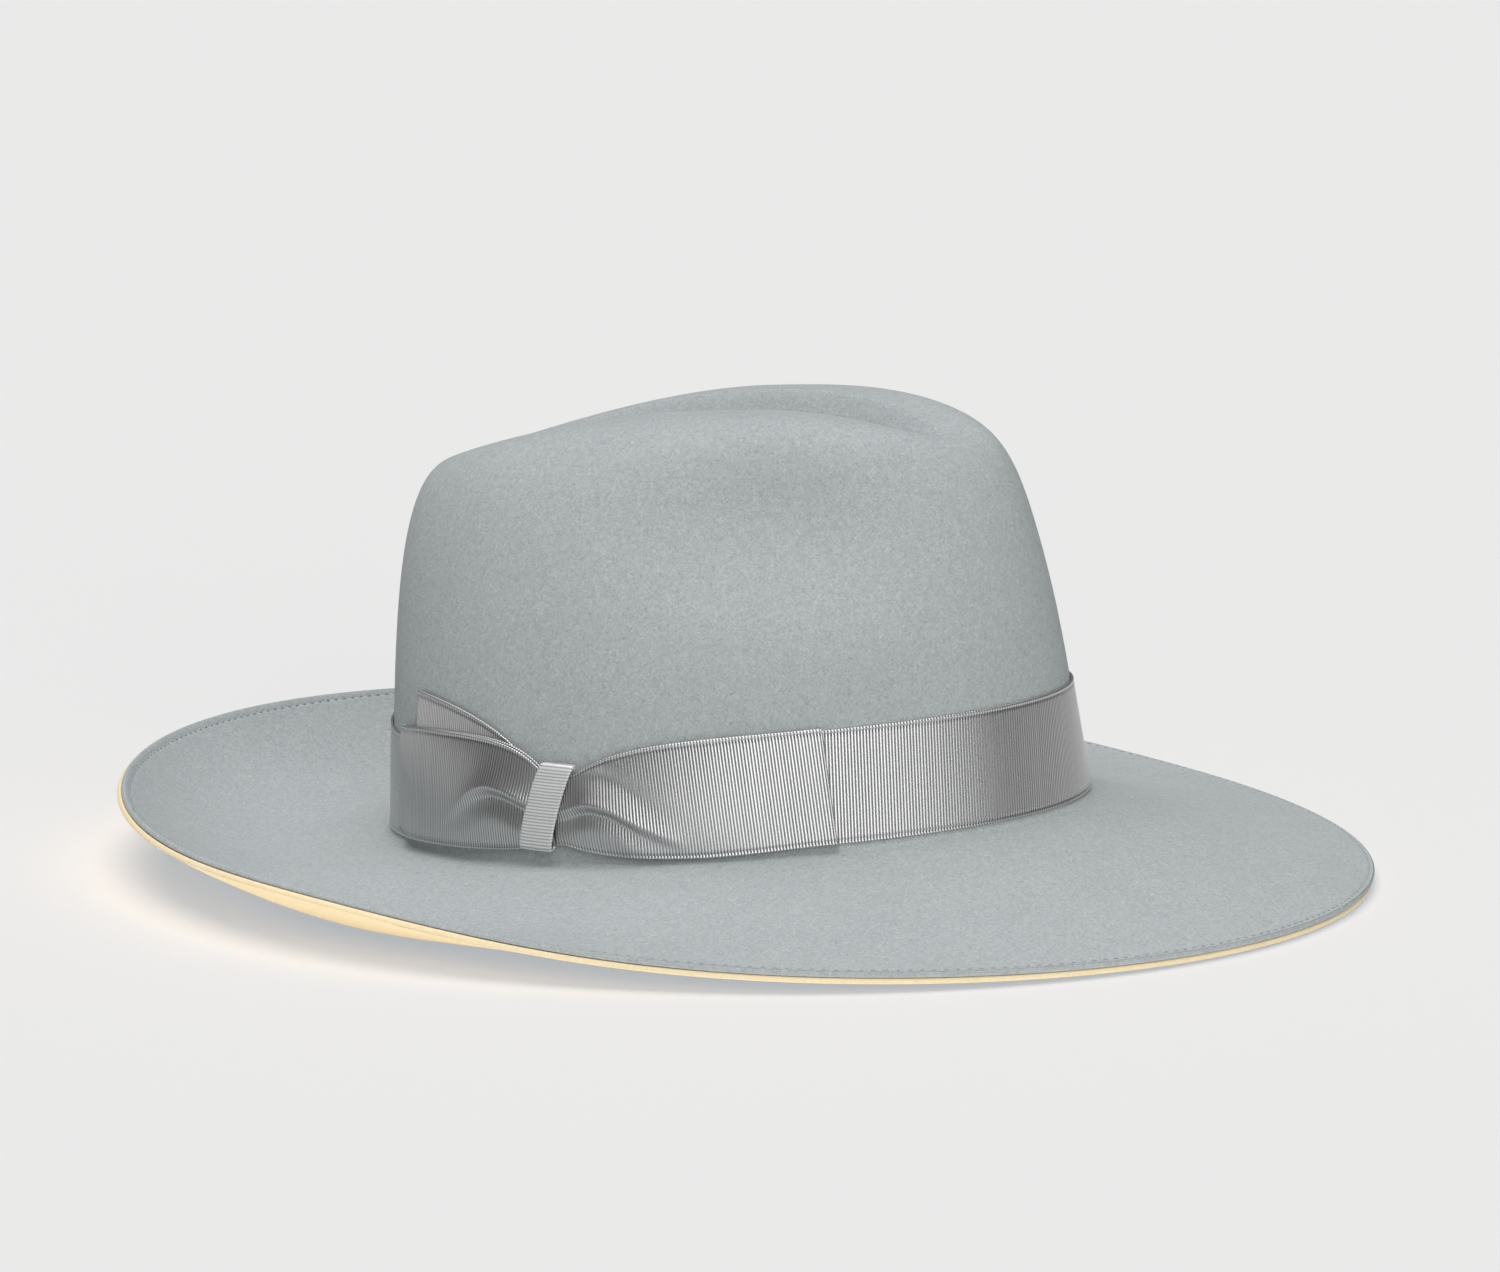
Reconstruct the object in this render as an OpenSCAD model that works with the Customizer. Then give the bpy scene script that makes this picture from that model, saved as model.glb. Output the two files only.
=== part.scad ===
// Wide-brimmed felt fedora with a teardrop crown, a contrasting under-brim and a ribbon bow.
// The hat is drawn level, with its head plane at height 0, and then set down as it rests on a table.
// Front is -Y and the wearer's right is -X. Angles run round the hat from the front, positive towards +X.

/* [Head opening] */
// Front-to-back length of the felt at the foot of the crown
head_length = 204; // [190:1:218]
// Side-to-side width of the felt at the foot of the crown
head_width = 168; // [156:0.5:182]
// How much the oval narrows towards the front
head_egg = 0.07; // [0:0.01:0.1]

/* [Felt] */
// Thickness of the upper felt, which is the crown and the top of the brim
felt_thickness = 1.6; // [1.2:0.1:2.2]
// Thickness of the contrasting felt bonded under the brim
underbrim_thickness = 1.6; // [1:0.1:2.2]
// Radius of the bend where the brim turns up into the crown
break_radius = 1.2; // [0.8:0.1:3]

/* [Crown] */
// Height of the ridges above the head plane, at the sides
side_height = 116.5; // [100:0.5:130]
// Height of the crown at its front tip
front_height = 104; // [94:1:116]
// Height of the crown at the back
back_height = 104; // [92:1:114]
// How late the crown falls to its front tip, as a power of the way round
front_fall = 3.5; // [2:0.1:4]
// How late the crown falls to its back
back_fall = 1.8; // [1.4:0.1:4]
// Length of the teardrop dent between its ridges
dent_length = 140; // [120:1:152]
// Width of the teardrop dent between its ridges
dent_width = 51; // [40:1:70]
// How sharply the teardrop narrows to the front
dent_taper = 0.1; // [0:0.05:1]
// Height of the dent's floor above the head plane
dent_floor = 92; // [84:1:98]
// Distance of the dent's lowest point behind the middle
dent_floor_back = 10; // [0:1:20]
// Squareness of the shoulder between wall and ridge
shoulder = 4; // [3:0.1:5]
// Share of the way in to the ridge that the wall leans evenly
wall_lean = 0.27; // [0.1:0.01:0.4]
// Depth of the two finger pinches beside the front
pinch_depth = 11; // [0:0.5:13]
// Angle of each pinch from the front
pinch_angle = 60; // [45:1:75]

/* [Brim] */
// Overall length of the brim
brim_length = 355; // [330:1:380]
// Overall width of the brim
brim_width = 326.5; // [300:0.5:350]
// Distance the brim is set forward of the crown
brim_forward = 2.5; // [0:0.5:6]
// How much the brim's outline narrows towards the front
brim_egg = 0.04; // [0:0.005:0.06]
// Fall of the front edge below the head plane
front_drop = 27; // [20:1:34]
// Fall of the side edges below the head plane
side_drop = 4.5; // [0:0.5:8]
// Rise of the back edge above the head plane
back_rise = 26.5; // [18:0.5:32]
// How late the brim bends down at the front, as a power of the way out
front_curl = 1.05; // [1:0.05:2]
// How late the brim bends at the sides
side_curl = 1.3; // [1.2:0.05:2.4]
// How late the brim curls up at the back
back_curl = 3.4; // [2:0.1:4]
// Depth of the dish in the brim just behind each side
side_dish = 8.2; // [0:0.1:9]
// Extra rise of the edge beside that dish
side_lift = 4; // [0:0.1:6]
// Angle of the dish from the front
dish_angle = 104; // [95:1:115]
// Angle over which the dish fades out
dish_spread = 22.5; // [15:0.5:30]

/* [Ribbon] */
// Width of the grosgrain ribbon
ribbon_width = 32; // [25:1:38]
// Thickness of the grosgrain ribbon
ribbon_thickness = 0.6; // [0.5:0.1:1]

/* [Bow] */
// Angle of the bow's knot from the front, round to the wearer's right
bow_angle = 98; // [80:1:110]
// Length of the front loop from the knot's middle to its fold
front_loop = 77; // [60:1:90]
// Length of the rear loop from the knot's middle to its fold
rear_loop = 70; // [55:1:75]
// Length of the tail from the knot's middle to its cut end
tail_length = 60; // [50:1:68]
// Rise of the tail over its length
tail_rise = 20; // [12:1:24]
// Height of the knot
knot_height = 22.5; // [19:0.5:26]
// Width of the knot
knot_width = 11.5; // [9:0.5:14]
// Sideways lean of the knot over its height
knot_lean = 6; // [0:1:8]
// Free space inside each loop
loop_gap = 0.6; // [0.5:0.1:2]
// Height of the gathers beside the knot
gather = 1.2; // [0.6:0.1:1.6]
// Distance over which the front loop is gathered in to the knot
front_gather = 14; // [10:1:24]
// Distance over which the rear loop is gathered in to the knot
rear_gather = 22; // [14:1:30]

/* [Inside] */
// Width of the leather sweatband
sweatband_width = 35; // [28:1:42]
// Thickness of the leather
leather_thickness = 1; // [0.7:0.1:1.3]
// Diameter of the covered reed along the sweatband's lower edge
reed_diameter = 2.2; // [1.6:0.1:2.6]
// Thickness of the lining cloth
lining_thickness = 0.4; // [0.3:0.1:0.6]
// Share of the crown's height at which the lining's side meets its tip
lining_seam = 0.65; // [0.6:0.01:0.69]
// Width of the narrow ribbon tied at the sweatband's back seam
tie_width = 6; // [4:0.5:8]
// Overall span of that small bow
tie_span = 26; // [20:1:32]

/* [Stitching] */
// Distance of the edge stitching inside the brim's edge
stitch_inset = 5; // [3:0.5:8]
// Thickness of the sewing thread
thread_diameter = 0.6; // [0.4:0.05:0.8]
// Length of one stitch
stitch_length = 2.2; // [1.8:0.1:2.6]

/* [Hidden] */

// Clearance between pieces that lie against each other, and of the loose lining
lay_gap = 0.2;
lining_gap = 0.3;
// Opening between the lining's side and its tip
lining_seam_gap = 0.8;
// Opening left where the two ends of a band meet, in degrees
seam_gap = 0.2;
// Facets round the hat, and the steps of each stretch from the brim's edge to the dent
facets = 56;
step_angle = 360 / facets;
brim_steps = 9;
bend_steps = 2;
wall_steps = 14;
dent_steps = 5;
// Share of the dent's length that its floor is creased along
crease_share = 0.72;
// Stitches on each facet of the edge
stitches_per_facet = 6;
// Width, height and place of the finger pinches, in degrees and shares of the crown's height
pinch_spread = 25;
pinch_middle = 0.755;
pinch_reach = 0.19;
// Distance along the band's side that one degree spans
mm_per_degree = PI / 180 * head_length / 2;
// The band stands on the bend at the foot of the crown
band_foot = break_radius;

felt_color = [0.70, 0.72, 0.73];
underbrim_color = [0.97, 0.86, 0.62];
ribbon_color = [0.73, 0.73, 0.73];
thread_color = [0.45, 0.46, 0.47];
leather_color = [0.55, 0.45, 0.36];
satin_color = [0.80, 0.80, 0.79];

// Distances from the wall's outer face of the layers on each side of it, to the middle of a loop's back layer:
// the front loop lies on the band and the rear loop on the tail
band_out = lay_gap;
tail_out = band_out + ribbon_thickness + lay_gap;
front_loop_out = tail_out + ribbon_thickness / 2;
rear_loop_out = front_loop_out + ribbon_thickness + lay_gap;
// Distance between the middles of a loop's two layers
loop_depth = ribbon_thickness + loop_gap;
lining_in = felt_thickness + lining_gap;
sweatband_in = lining_in + lining_thickness + lay_gap;
tie_in = sweatband_in + leather_thickness + lay_gap;

// Plain geometry
function unit(v) = v / norm(v);
function mix(p, q, share) = p + (q - p) * share;
function wrapped(a) = a > 180 ? a - 360 : a;
function oval(a, length, width, egg) =
  [width / 2 * sin(a) * (1 - egg * cos(a)), -length / 2 * cos(a)];
// A value that changes smoothly round the hat through its front, side and back values
function around(a, front, side, back) =
  side + (front - back) / 2 * cos(a) + ((front + back) / 2 - side) * pow(cos(a), 2);
function bell(x, spread) = exp(-pow(x / spread, 2));

// Brim: its plan runs from the bend to the edge, its height grows as a power of the way out, and it is dished
// behind each side
function brim_root(a) =
  oval(a, head_length + 2 * break_radius, head_width + 2 * break_radius, head_egg);
function brim_rim(a) = oval(a, brim_length, brim_width, brim_egg) - [0, brim_forward];
function dished(a) = bell(abs(wrapped(a)) - dish_angle, dish_spread);
function rim_height(a) = around(a, -front_drop, -side_drop, back_rise) + side_lift * dished(a);
// Section of the dish: 0 at the bend and at the edge, and 1 two thirds of the way out
function dish_share(share) = 27 / 4 * pow(share, 2) * (1 - share);
function brim_point(a, share) = let (
  plan = mix(brim_root(a), brim_rim(a), share),
  height = rim_height(a) * pow(share, around(a, front_curl, side_curl, back_curl))
) [plan.x, plan.y, height - side_dish * dished(a) * dish_share(share)];
function stitch_share(a) = 1 - stitch_inset / norm(brim_rim(a) - brim_root(a));

// Bend between brim and wall
function bend_point(a, turn) = let (
  out = break_radius * (1 - sin(turn)),
  plan = oval(a, head_length + 2 * out, head_width + 2 * out, head_egg)
) [plan.x, plan.y, break_radius * (1 - cos(turn))];

// Crown: the wall leans in to the ridge of the teardrop, whose widest share sets its scale
function teardrop(a) = sin(a) * pow(abs(sin(a / 2)), dent_taper);
teardrop_peak = max([for (a = [60:2:160]) teardrop(a)]);
function crown_height(a) = side_height
  - (side_height - front_height) * pow(max(0, cos(a)), front_fall)
  - (side_height - back_height) * pow(max(0, -cos(a)), back_fall);
function ridge(a) = [dent_width / 2 * teardrop(a) / teardrop_peak, -dent_length / 2 * cos(a)];
function wall_share(f) = wall_lean * f + (1 - wall_lean) * (1 - pow(1 - pow(f, shoulder), 1 / shoulder));
function pinch(a, f) =
  pinch_depth * bell(abs(wrapped(a)) - pinch_angle, pinch_spread) * bell(f - pinch_middle, pinch_reach);
// Point of the wall at a share of the crown's height, moved out from the felt's outer face
function wall_point(a, f, out = 0) = let (
  plan = mix(oval(a, head_length, head_width, head_egg), ridge(a), wall_share(f)),
  moved = plan * (1 + (out - pinch(a, f)) / norm(plan))
) [moved.x, moved.y, f * crown_height(a)];
function wall_at(a, height, out) = wall_point(a, height / crown_height(a), out);
// Shares of the crown's height, closer together towards the ridge
function climb(k) = pow(sin(90 * sin(90 * k / wall_steps)), 2 / shoulder);
// Dent: it runs down from the ridge to a crease along the middle of the crown
function eased(share) = (1 - cos(180 * share)) / 2;
function crease_height(y) = let (
  ahead = y < dent_floor_back,
  end = (ahead ? -dent_length : dent_length) / 2,
  share = (y - end) / (dent_floor_back - end)
) mix(ahead ? front_height : back_height, dent_floor, eased(share));
function dent_point(a, share) = let (
  top = wall_point(a, 1),
  crease_y = mix(dent_floor_back, top.y, crease_share)
) [
  top.x * (1 - share), mix(top.y, crease_y, share), mix(top.z, crease_height(crease_y), eased(share))
];

// Grids of points: rows run in from the edge or up, columns run round or along
round_angles = [for (i = [0:facets - 1]) wrapped(i * step_angle)];
// A strip that closes on itself has an end on each side of its seam, and the same facets as the felt between
function strip_angles(seam) = let (first = floor(seam / step_angle) + 1) concat(
  [seam + seam_gap],
  [for (i = [first:first + facets - 1]) if (i * step_angle < seam + 360 - seam_gap) i * step_angle],
  [seam + 360 - seam_gap]
);
brim_rows = concat(
  [[for (a = round_angles) brim_point(a, 1)]],
  [for (j = [1:brim_steps - 1])
    [for (a = round_angles) brim_point(a, stitch_share(a) * (brim_steps - 1 - j) / (brim_steps - 2))]]
);
bend_rows = [for (j = [1:bend_steps]) [for (a = round_angles) bend_point(a, 90 * j / bend_steps)]];
band_row = [for (a = round_angles) wall_at(a, band_foot + ribbon_width, 0)];
wall_rows = [for (j = [1:wall_steps]) [for (a = round_angles) wall_point(a, climb(j))]];
dent_rows = [for (j = [1:dent_steps - 1]) [for (a = round_angles) dent_point(a, j / dent_steps)]];
crease = [for (i = [0:facets / 2]) dent_point(round_angles[i], 1)];
felt_rows = concat(brim_rows, bend_rows, [band_row], wall_rows, dent_rows);

// Normals point up from the brim and out of the wall
function neighbour(i, step, n, closed) = closed ? (i + step + n) % n : max(0, min(n - 1, i + step));
function normals(g, closed) = let (rows = len(g), columns = len(g[0])) [
  for (j = [0:rows - 1]) [
    for (i = [0:columns - 1]) let (
      along = g[j][neighbour(i, 1, columns, closed)] - g[j][neighbour(i, -1, columns, closed)],
      across = g[min(rows - 1, j + 1)][i] - g[max(0, j - 1)][i]
    ) unit(cross(along, across))
  ]
];
function moved(g, by, closed) = let (n = normals(g, closed)) [
  for (j = [0:len(g) - 1]) [for (i = [0:len(g[j]) - 1]) g[j][i] + by * n[j][i]]
];
function flat(g) = [for (row = g) for (p = row) p];

// Two triangles for each cell of a grid whose first point has the index given
function cells(first, rows, columns, closed, flip) = [
  for (j = [0:rows - 2]) for (i = [0:columns - (closed ? 1 : 2)]) let (
    a = first + j * columns + i,
    b = first + j * columns + (i + 1) % columns,
    c = b + columns,
    d = a + columns
  ) each flip ? [[a, b, c], [a, c, d]] : [[a, c, b], [a, d, c]]
];
// Faces that join one edge of the outer grid to the same edge of the inner grid
function joint(outer, inner, closed) = let (n = len(outer)) [
  for (i = [0:n - (closed ? 1 : 2)]) let (k = (i + 1) % n)
    each [[outer[i], outer[k], inner[k]], [outer[i], inner[k], inner[i]]]
];
function backwards(v) = [for (i = [len(v) - 1:-1:0]) v[i]];

// A sheet of even thickness on a grid: closed round the hat, or a strip with four edges
module sheet(g, inner, outer, closed = false) {
  rows = len(g);
  columns = len(g[0]);
  size = rows * columns;
  first_row = [for (i = [0:columns - 1]) i];
  last_row = [for (i = first_row) i + size - columns];
  first_column = [for (j = [0:rows - 1]) j * columns];
  last_column = [for (j = first_column) j + columns - 1];
  ends = closed ? [] : concat(
    joint(backwards(first_column), [for (i = backwards(first_column)) i + size], false),
    joint(last_column, [for (i = last_column) i + size], false)
  );
  polyhedron(
    concat(flat(moved(g, outer, closed)), flat(moved(g, inner, closed))),
    concat(
      cells(0, rows, columns, closed, false),
      cells(size, rows, columns, closed, true),
      joint(first_row, [for (i = first_row) i + size], closed),
      joint(backwards(last_row), [for (i = backwards(last_row)) i + size], closed),
      ends
    )
  );
}

// A sheet closed round the hat, whose two sides meet along a line in the hat's middle plane
module dome(g, line, inner, outer) {
  rows = len(g);
  columns = len(g[0]);
  size = rows * columns;
  first_row = [for (i = [0:columns - 1]) i];
  // Place on the line that a column runs to
  function meets(i) = min(i, columns - i);
  whole = concat(g, [[for (i = first_row) line[meets(i)]]]);
  function skin(by) = let (m = moved(whole, by, true)) [for (j = [0:rows - 1]) each m[j]];
  function line_moved(by) = [
    for (i = [0:len(line) - 1])
      let (way = unit(line[min(len(line) - 1, i + 1)] - line[max(0, i - 1)]))
        line[i] + by * [0, -way.z, way.y]
  ];
  outer_line = 2 * size;
  inner_line = outer_line + len(line);
  polyhedron(
    concat(skin(outer), skin(inner), line_moved(outer), line_moved(inner)),
    concat(
      cells(0, rows, columns, true, false),
      cells(size, rows, columns, true, true),
      joint(first_row, [for (i = first_row) i + size], true),
      joint(
        [for (i = backwards(first_row)) size - columns + i],
        [for (i = backwards(first_row)) outer_line + meets(i)], true
      ),
      joint(
        [for (i = first_row) 2 * size - columns + i],
        [for (i = first_row) inner_line + meets(i)], true
      )
    )
  );
}

// Under-brim: the brim's own rows, and an inner edge cut to the inside of the head opening
underbrim_in = felt_thickness + lay_gap;
// Oval of the head opening, moved in from the felt's outer face
function opening(a, inward) = oval(a, head_length - 2 * inward, head_width - 2 * inward, head_egg);
opening_edge = [for (a = round_angles) concat(opening(a, felt_thickness), 0)];
underbrim_rows = concat(brim_rows, [opening_edge]);
underside = moved(underbrim_rows, -underbrim_in - underbrim_thickness, true);

// Rest: the front edge and the rear of the brim touch the table
front_foot = underside[0][0];
rear_feet = [for (row = underside) row[facets / 2]];
rest_tilt = atan(min([for (p = rear_feet) (p.z - front_foot.z) / (p.y - front_foot.y)]));
function tilted(p) = [
  p.x, p.y * cos(rest_tilt) + p.z * sin(rest_tilt), p.z * cos(rest_tilt) - p.y * sin(rest_tilt)
];
rest_points = [for (p = concat(flat(underside), felt_rows[0])) tilted(p)];
rest_lift = -min([for (p = rest_points) p.z]);
rest_ends = [for (p = rest_points) p.y];
rest_shift = -(min(rest_ends) + max(rest_ends)) / 2;
module at_rest() {
  translate([0, rest_shift, rest_lift]) rotate([-rest_tilt, 0, 0]) children();
}

// Crown and upper brim: one piece of felt
module felt_body() {
  color(felt_color) at_rest() dome(felt_rows, crease, -felt_thickness, 0);
}

// Contrasting felt under the brim
module underbrim() {
  color(underbrim_color) at_rest()
    sheet(underbrim_rows, -underbrim_in - underbrim_thickness, -underbrim_in, true);
}

// One row of lockstitches on the upper felt, joining the two felts near the edge
module edge_stitching() {
  felt_normals = normals(felt_rows, true);
  height = thread_diameter / 2 + lay_gap / 2;
  color(thread_color) at_rest()
    for (i = [0:facets - 1], k = [0:stitches_per_facet - 1]) {
      from = felt_rows[1][i];
      to = felt_rows[1][(i + 1) % facets];
      share = (k + 0.5) / stitches_per_facet;
      way = unit(to - from);
      up = unit(mix(felt_normals[1][i], felt_normals[1][(i + 1) % facets], share));
      start = mix(from, to, share) + height * up - stitch_length / 2 * way;
      translate(start)
        rotate([0, acos(way.z), atan2(way.y, way.x)])
          cylinder(h = stitch_length, d = thread_diameter, $fn = 16);
    }
}

// A strip round the wall through the heights given, open at a seam
function wall_strip(seam, heights, out) = [
  for (z = heights) [for (a = strip_angles(seam)) wall_at(a, z, out)]
];

// Bow: each piece is ribbon on a grid whose columns run along it and whose rows run up its width
bow_rows = 6;
// The knot sits a little below the middle of the band
knot_drop = 1;
knot_foot = band_foot + (ribbon_width - knot_height) / 2 - knot_drop;
knot_margin = ribbon_thickness + 2 * lay_gap;
// The rear loop fills the knot and the front loop is drawn in further, and the rear loop's fold is lifted
rear_neck = knot_height - knot_margin;
front_neck_drop = 4;
front_neck = rear_neck - front_neck_drop;
rear_lift = 1.2;
// Angle at a distance along the band from the knot, positive towards the front
function bow_at(distance) = -bow_angle + distance / mm_per_degree;
// How far ribbon is gathered at a distance from the knot: 1 at the knot and 0 further along
function gathered(distance, spread) = exp(-max(0, distance - knot_width / 2) / spread);

// Ribbon round the crown, drawn in behind the knot, whose ends meet under the middle of the front loop
band_seam = bow_at(front_loop / 2);
// How far the band's edges lie inside the loops' edges at the knot
band_tuck = 0.8;
// The band has more columns behind the bow than elsewhere
band_divisions = 3;
module hat_band() {
  function from_knot(a) = wrapped(a + bow_angle) * mm_per_degree;
  function behind_bow(a) = let (d = from_knot(a)) d > -rear_loop && d < front_loop;
  fine = step_angle / band_divisions;
  first = floor(band_seam / fine) + 1;
  inner_angles = [
    for (i = [first:first + facets * band_divisions - 1])
      if (i % band_divisions == 0 || behind_bow(i * fine)) i * fine
  ];
  ends = [band_seam + seam_gap, band_seam + 360 - seam_gap];
  angles = concat(ends[0], [for (a = inner_angles) if (a > ends[0] && a < ends[1]) a], ends[1]);
  function level(a, share) = let (
    d = from_knot(a),
    drawn = gathered(abs(d), d > 0 ? front_gather : rear_gather),
    foot = mix(band_foot, knot_foot + knot_margin + band_tuck, drawn),
    top = mix(band_foot + ribbon_width, knot_foot + front_neck - band_tuck, drawn)
  ) mix(foot, top, share);
  grid = [for (share = [0, 0.5, 1]) [for (a = angles) wall_at(a, level(a, share), band_out)]];
  color(ribbon_color) at_rest() sheet(grid, 0, ribbon_thickness);
}

// Path of a loop: out along the back layer, round the fold and back along the front layer
loop_back_steps = 8;
fold_steps = 4;
loop_front_steps = 12;
fold_radius = loop_depth / 2;
// Each point of the path is a distance from the knot and a distance out from the back layer
function loop_path(reach) = let (run = reach - fold_radius, start = lay_gap) concat(
  [for (k = [0:loop_back_steps]) [mix(start, run, k / loop_back_steps), 0]],
  [for (k = [1:fold_steps - 1]) let (turn = 180 * k / fold_steps)
    [run + fold_radius * sin(turn), fold_radius * (1 - cos(turn))]],
  [for (k = [0:loop_front_steps]) [mix(run, start, k / loop_front_steps), loop_depth]]
);
// A loop is the full ribbon at its fold, raised as given, and is drawn in to its neck at the knot
function loop_foot(distance, rise, spread) =
  mix(band_foot + rise, knot_foot + knot_margin, gathered(distance, spread));
function loop_top(distance, rise, neck, spread) =
  mix(band_foot + rise + ribbon_width, knot_foot + neck, gathered(distance, spread));
// Pleats stand out of the front layer beside the knot, and flatten under it
pleat_start = (knot_width + knot_lean) / 2;
pleat_onset = 4;
pleats = 1.5;
function pleat(distance, share, spread) = let (past = max(0, distance - pleat_start))
  gather * gathered(distance, spread) * (1 - bell(past, pleat_onset)) * (1 - cos(360 * pleats * share));
function loop_grid(way, reach, out, rise, neck, spread) = [
  for (j = [0:bow_rows]) [
    for (p = loop_path(reach)) let (
      share = j / bow_rows,
      foot = loop_foot(p[0], rise, spread),
      top = loop_top(p[0], rise, neck, spread),
      raised = p[1] == loop_depth ? pleat(p[0], share, spread) : 0
    ) wall_at(bow_at(way * p[0]), mix(foot, top, share), out + p[1] + raised)
  ]
];

module bow_front_loop() {
  grid = loop_grid(1, front_loop, front_loop_out, 0, front_neck, front_gather);
  color(ribbon_color) at_rest() sheet(grid, -ribbon_thickness / 2, ribbon_thickness / 2);
}

module bow_rear_loop() {
  grid = loop_grid(-1, rear_loop, rear_loop_out, rear_lift, rear_neck, rear_gather);
  color(ribbon_color) at_rest() sheet(grid, -ribbon_thickness / 2, ribbon_thickness / 2);
}

// Tail under the rear loop, whose straight upper edge climbs away from the knot to the cut end
module bow_tail() {
  steps = 12;
  tail_neck = knot_foot + rear_neck - lay_gap;
  function tail_top(along) = tail_neck + tail_rise * max(0, along - knot_width / 2) / tail_length;
  tail_end_foot = tail_top(tail_length) - ribbon_width;
  grid = [
    for (j = [0:bow_rows]) [
      for (k = [0:steps]) let (
        along = mix(lay_gap, tail_length, k / steps),
        foot = mix(tail_end_foot, knot_foot + knot_margin, gathered(along, rear_gather))
      ) wall_at(bow_at(-along), mix(foot, tail_top(along), j / bow_rows), tail_out)
    ]
  ];
  color(ribbon_color) at_rest() sheet(grid, -ribbon_thickness, 0);
}

// Knot: a short length of ribbon wrapped over the bow from behind its top to behind its foot
module bow_knot() {
  columns = 4;
  steps = 12;
  // The wrap reaches this far round each way from the front, and its section is a rounded box
  wrap = 120;
  roundness = 0.4;
  function squared(x) = sign(x) * pow(abs(x), roundness);
  back = tail_out + ribbon_thickness / 2;
  front = rear_loop_out + loop_depth + ribbon_thickness / 2 + 2 * lay_gap;
  depth = (front - back) / 2;
  grid = [
    for (k = [0:steps]) [
      for (i = [0:columns]) let (
        turn = wrap * (2 * k / steps - 1),
        across = knot_width * (i / columns - 0.5),
        level = squared(sin(turn)),
        height = knot_foot + knot_height * (1 + level) / 2,
        out = back + depth * (1 + squared(cos(turn))),
        lean = knot_lean * level / 2
      ) wall_at(bow_at(across + lean), height, out)
    ]
  ];
  color(ribbon_color) at_rest() sheet(grid, 0, ribbon_thickness);
}

// Leather band inside the opening, whose ends meet at the back
sweatband_foot = -felt_thickness - underbrim_thickness + reed_diameter + lay_gap;
function inner_strip(foot, top, inward, steps) = [
  for (j = [0:steps]) [
    for (a = strip_angles(180)) let (p = wall_at(a, max(0, mix(foot, top, j / steps)), -inward))
      [p.x, p.y, mix(foot, top, j / steps)]
  ]
];
module sweatband() {
  grid = inner_strip(sweatband_foot, sweatband_foot + sweatband_width, sweatband_in, 2);
  color(leather_color) at_rest() sheet(grid, -leather_thickness, 0);
}

// Covered reed along the lower edge of the sweatband, inside the under-brim
module sweatband_reed() {
  sides = 6;
  radius = reed_diameter / 2;
  inward = felt_thickness + lay_gap + radius;
  level = sweatband_foot - lay_gap - radius;
  grid = [
    for (a = strip_angles(180)) [
      for (k = [0:sides - 1]) let (
        turn = 360 * k / sides,
        plan = opening(a, inward - radius * cos(turn))
      ) [plan.x, plan.y, level + radius * sin(turn)]
    ]
  ];
  rings = len(grid);
  first = [for (k = [0:sides - 1]) k];
  last = [for (k = first) k + (rings - 1) * sides];
  color(leather_color) at_rest()
    polyhedron(flat(grid), concat(cells(0, rings, sides, true, false), [first, backwards(last)]));
}

// Small flat bow on the sweatband's back seam: two loops and a knot
module sweatband_tie() {
  level = sweatband_foot + sweatband_width / 2;
  loop_thickness = ribbon_thickness;
  knot_thickness = 1.5 * ribbon_thickness;
  knot_span = tie_width / 2;
  knot_share = 0.7;
  neck_share = 0.5;
  steps = 6;
  rows = 4;
  degrees_per_mm = 360 / (PI * head_width);
  function tie_point(along, up) = wall_at(180 + along * degrees_per_mm, level + up, -tie_in);
  color(satin_color) at_rest() {
    for (way = [-1, 1]) {
      grid = [
        for (j = [0:rows]) [
          for (k = [0:steps]) let (
            along = mix(knot_span / 2 + lay_gap, tie_span / 2, k / steps),
            width = tie_width * mix(neck_share, 1, sqrt(k / steps))
          ) tie_point(way * along, width * (j / rows - 0.5))
        ]
      ];
      sheet(way > 0 ? grid : [for (row = grid) backwards(row)], -loop_thickness, 0);
    }
    knot = [
      for (j = [0:rows]) [
        for (i = [-1, 0, 1]) tie_point(i * knot_span / 2, knot_share * tie_width * (j / rows - 0.5))
      ]
    ];
    sheet(knot, -knot_thickness, 0);
  }
}

// Lining: a side strip that hangs behind the sweatband, and a tip that follows the dent
lining_foot = sweatband_foot + sweatband_width / 2;
// Shares of the crown's height at which the felt has its rows
function felt_shares(a) = concat([0, (band_foot + ribbon_width) / crown_height(a)], [for (j = [1:wall_steps]) climb(j)]);
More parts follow.
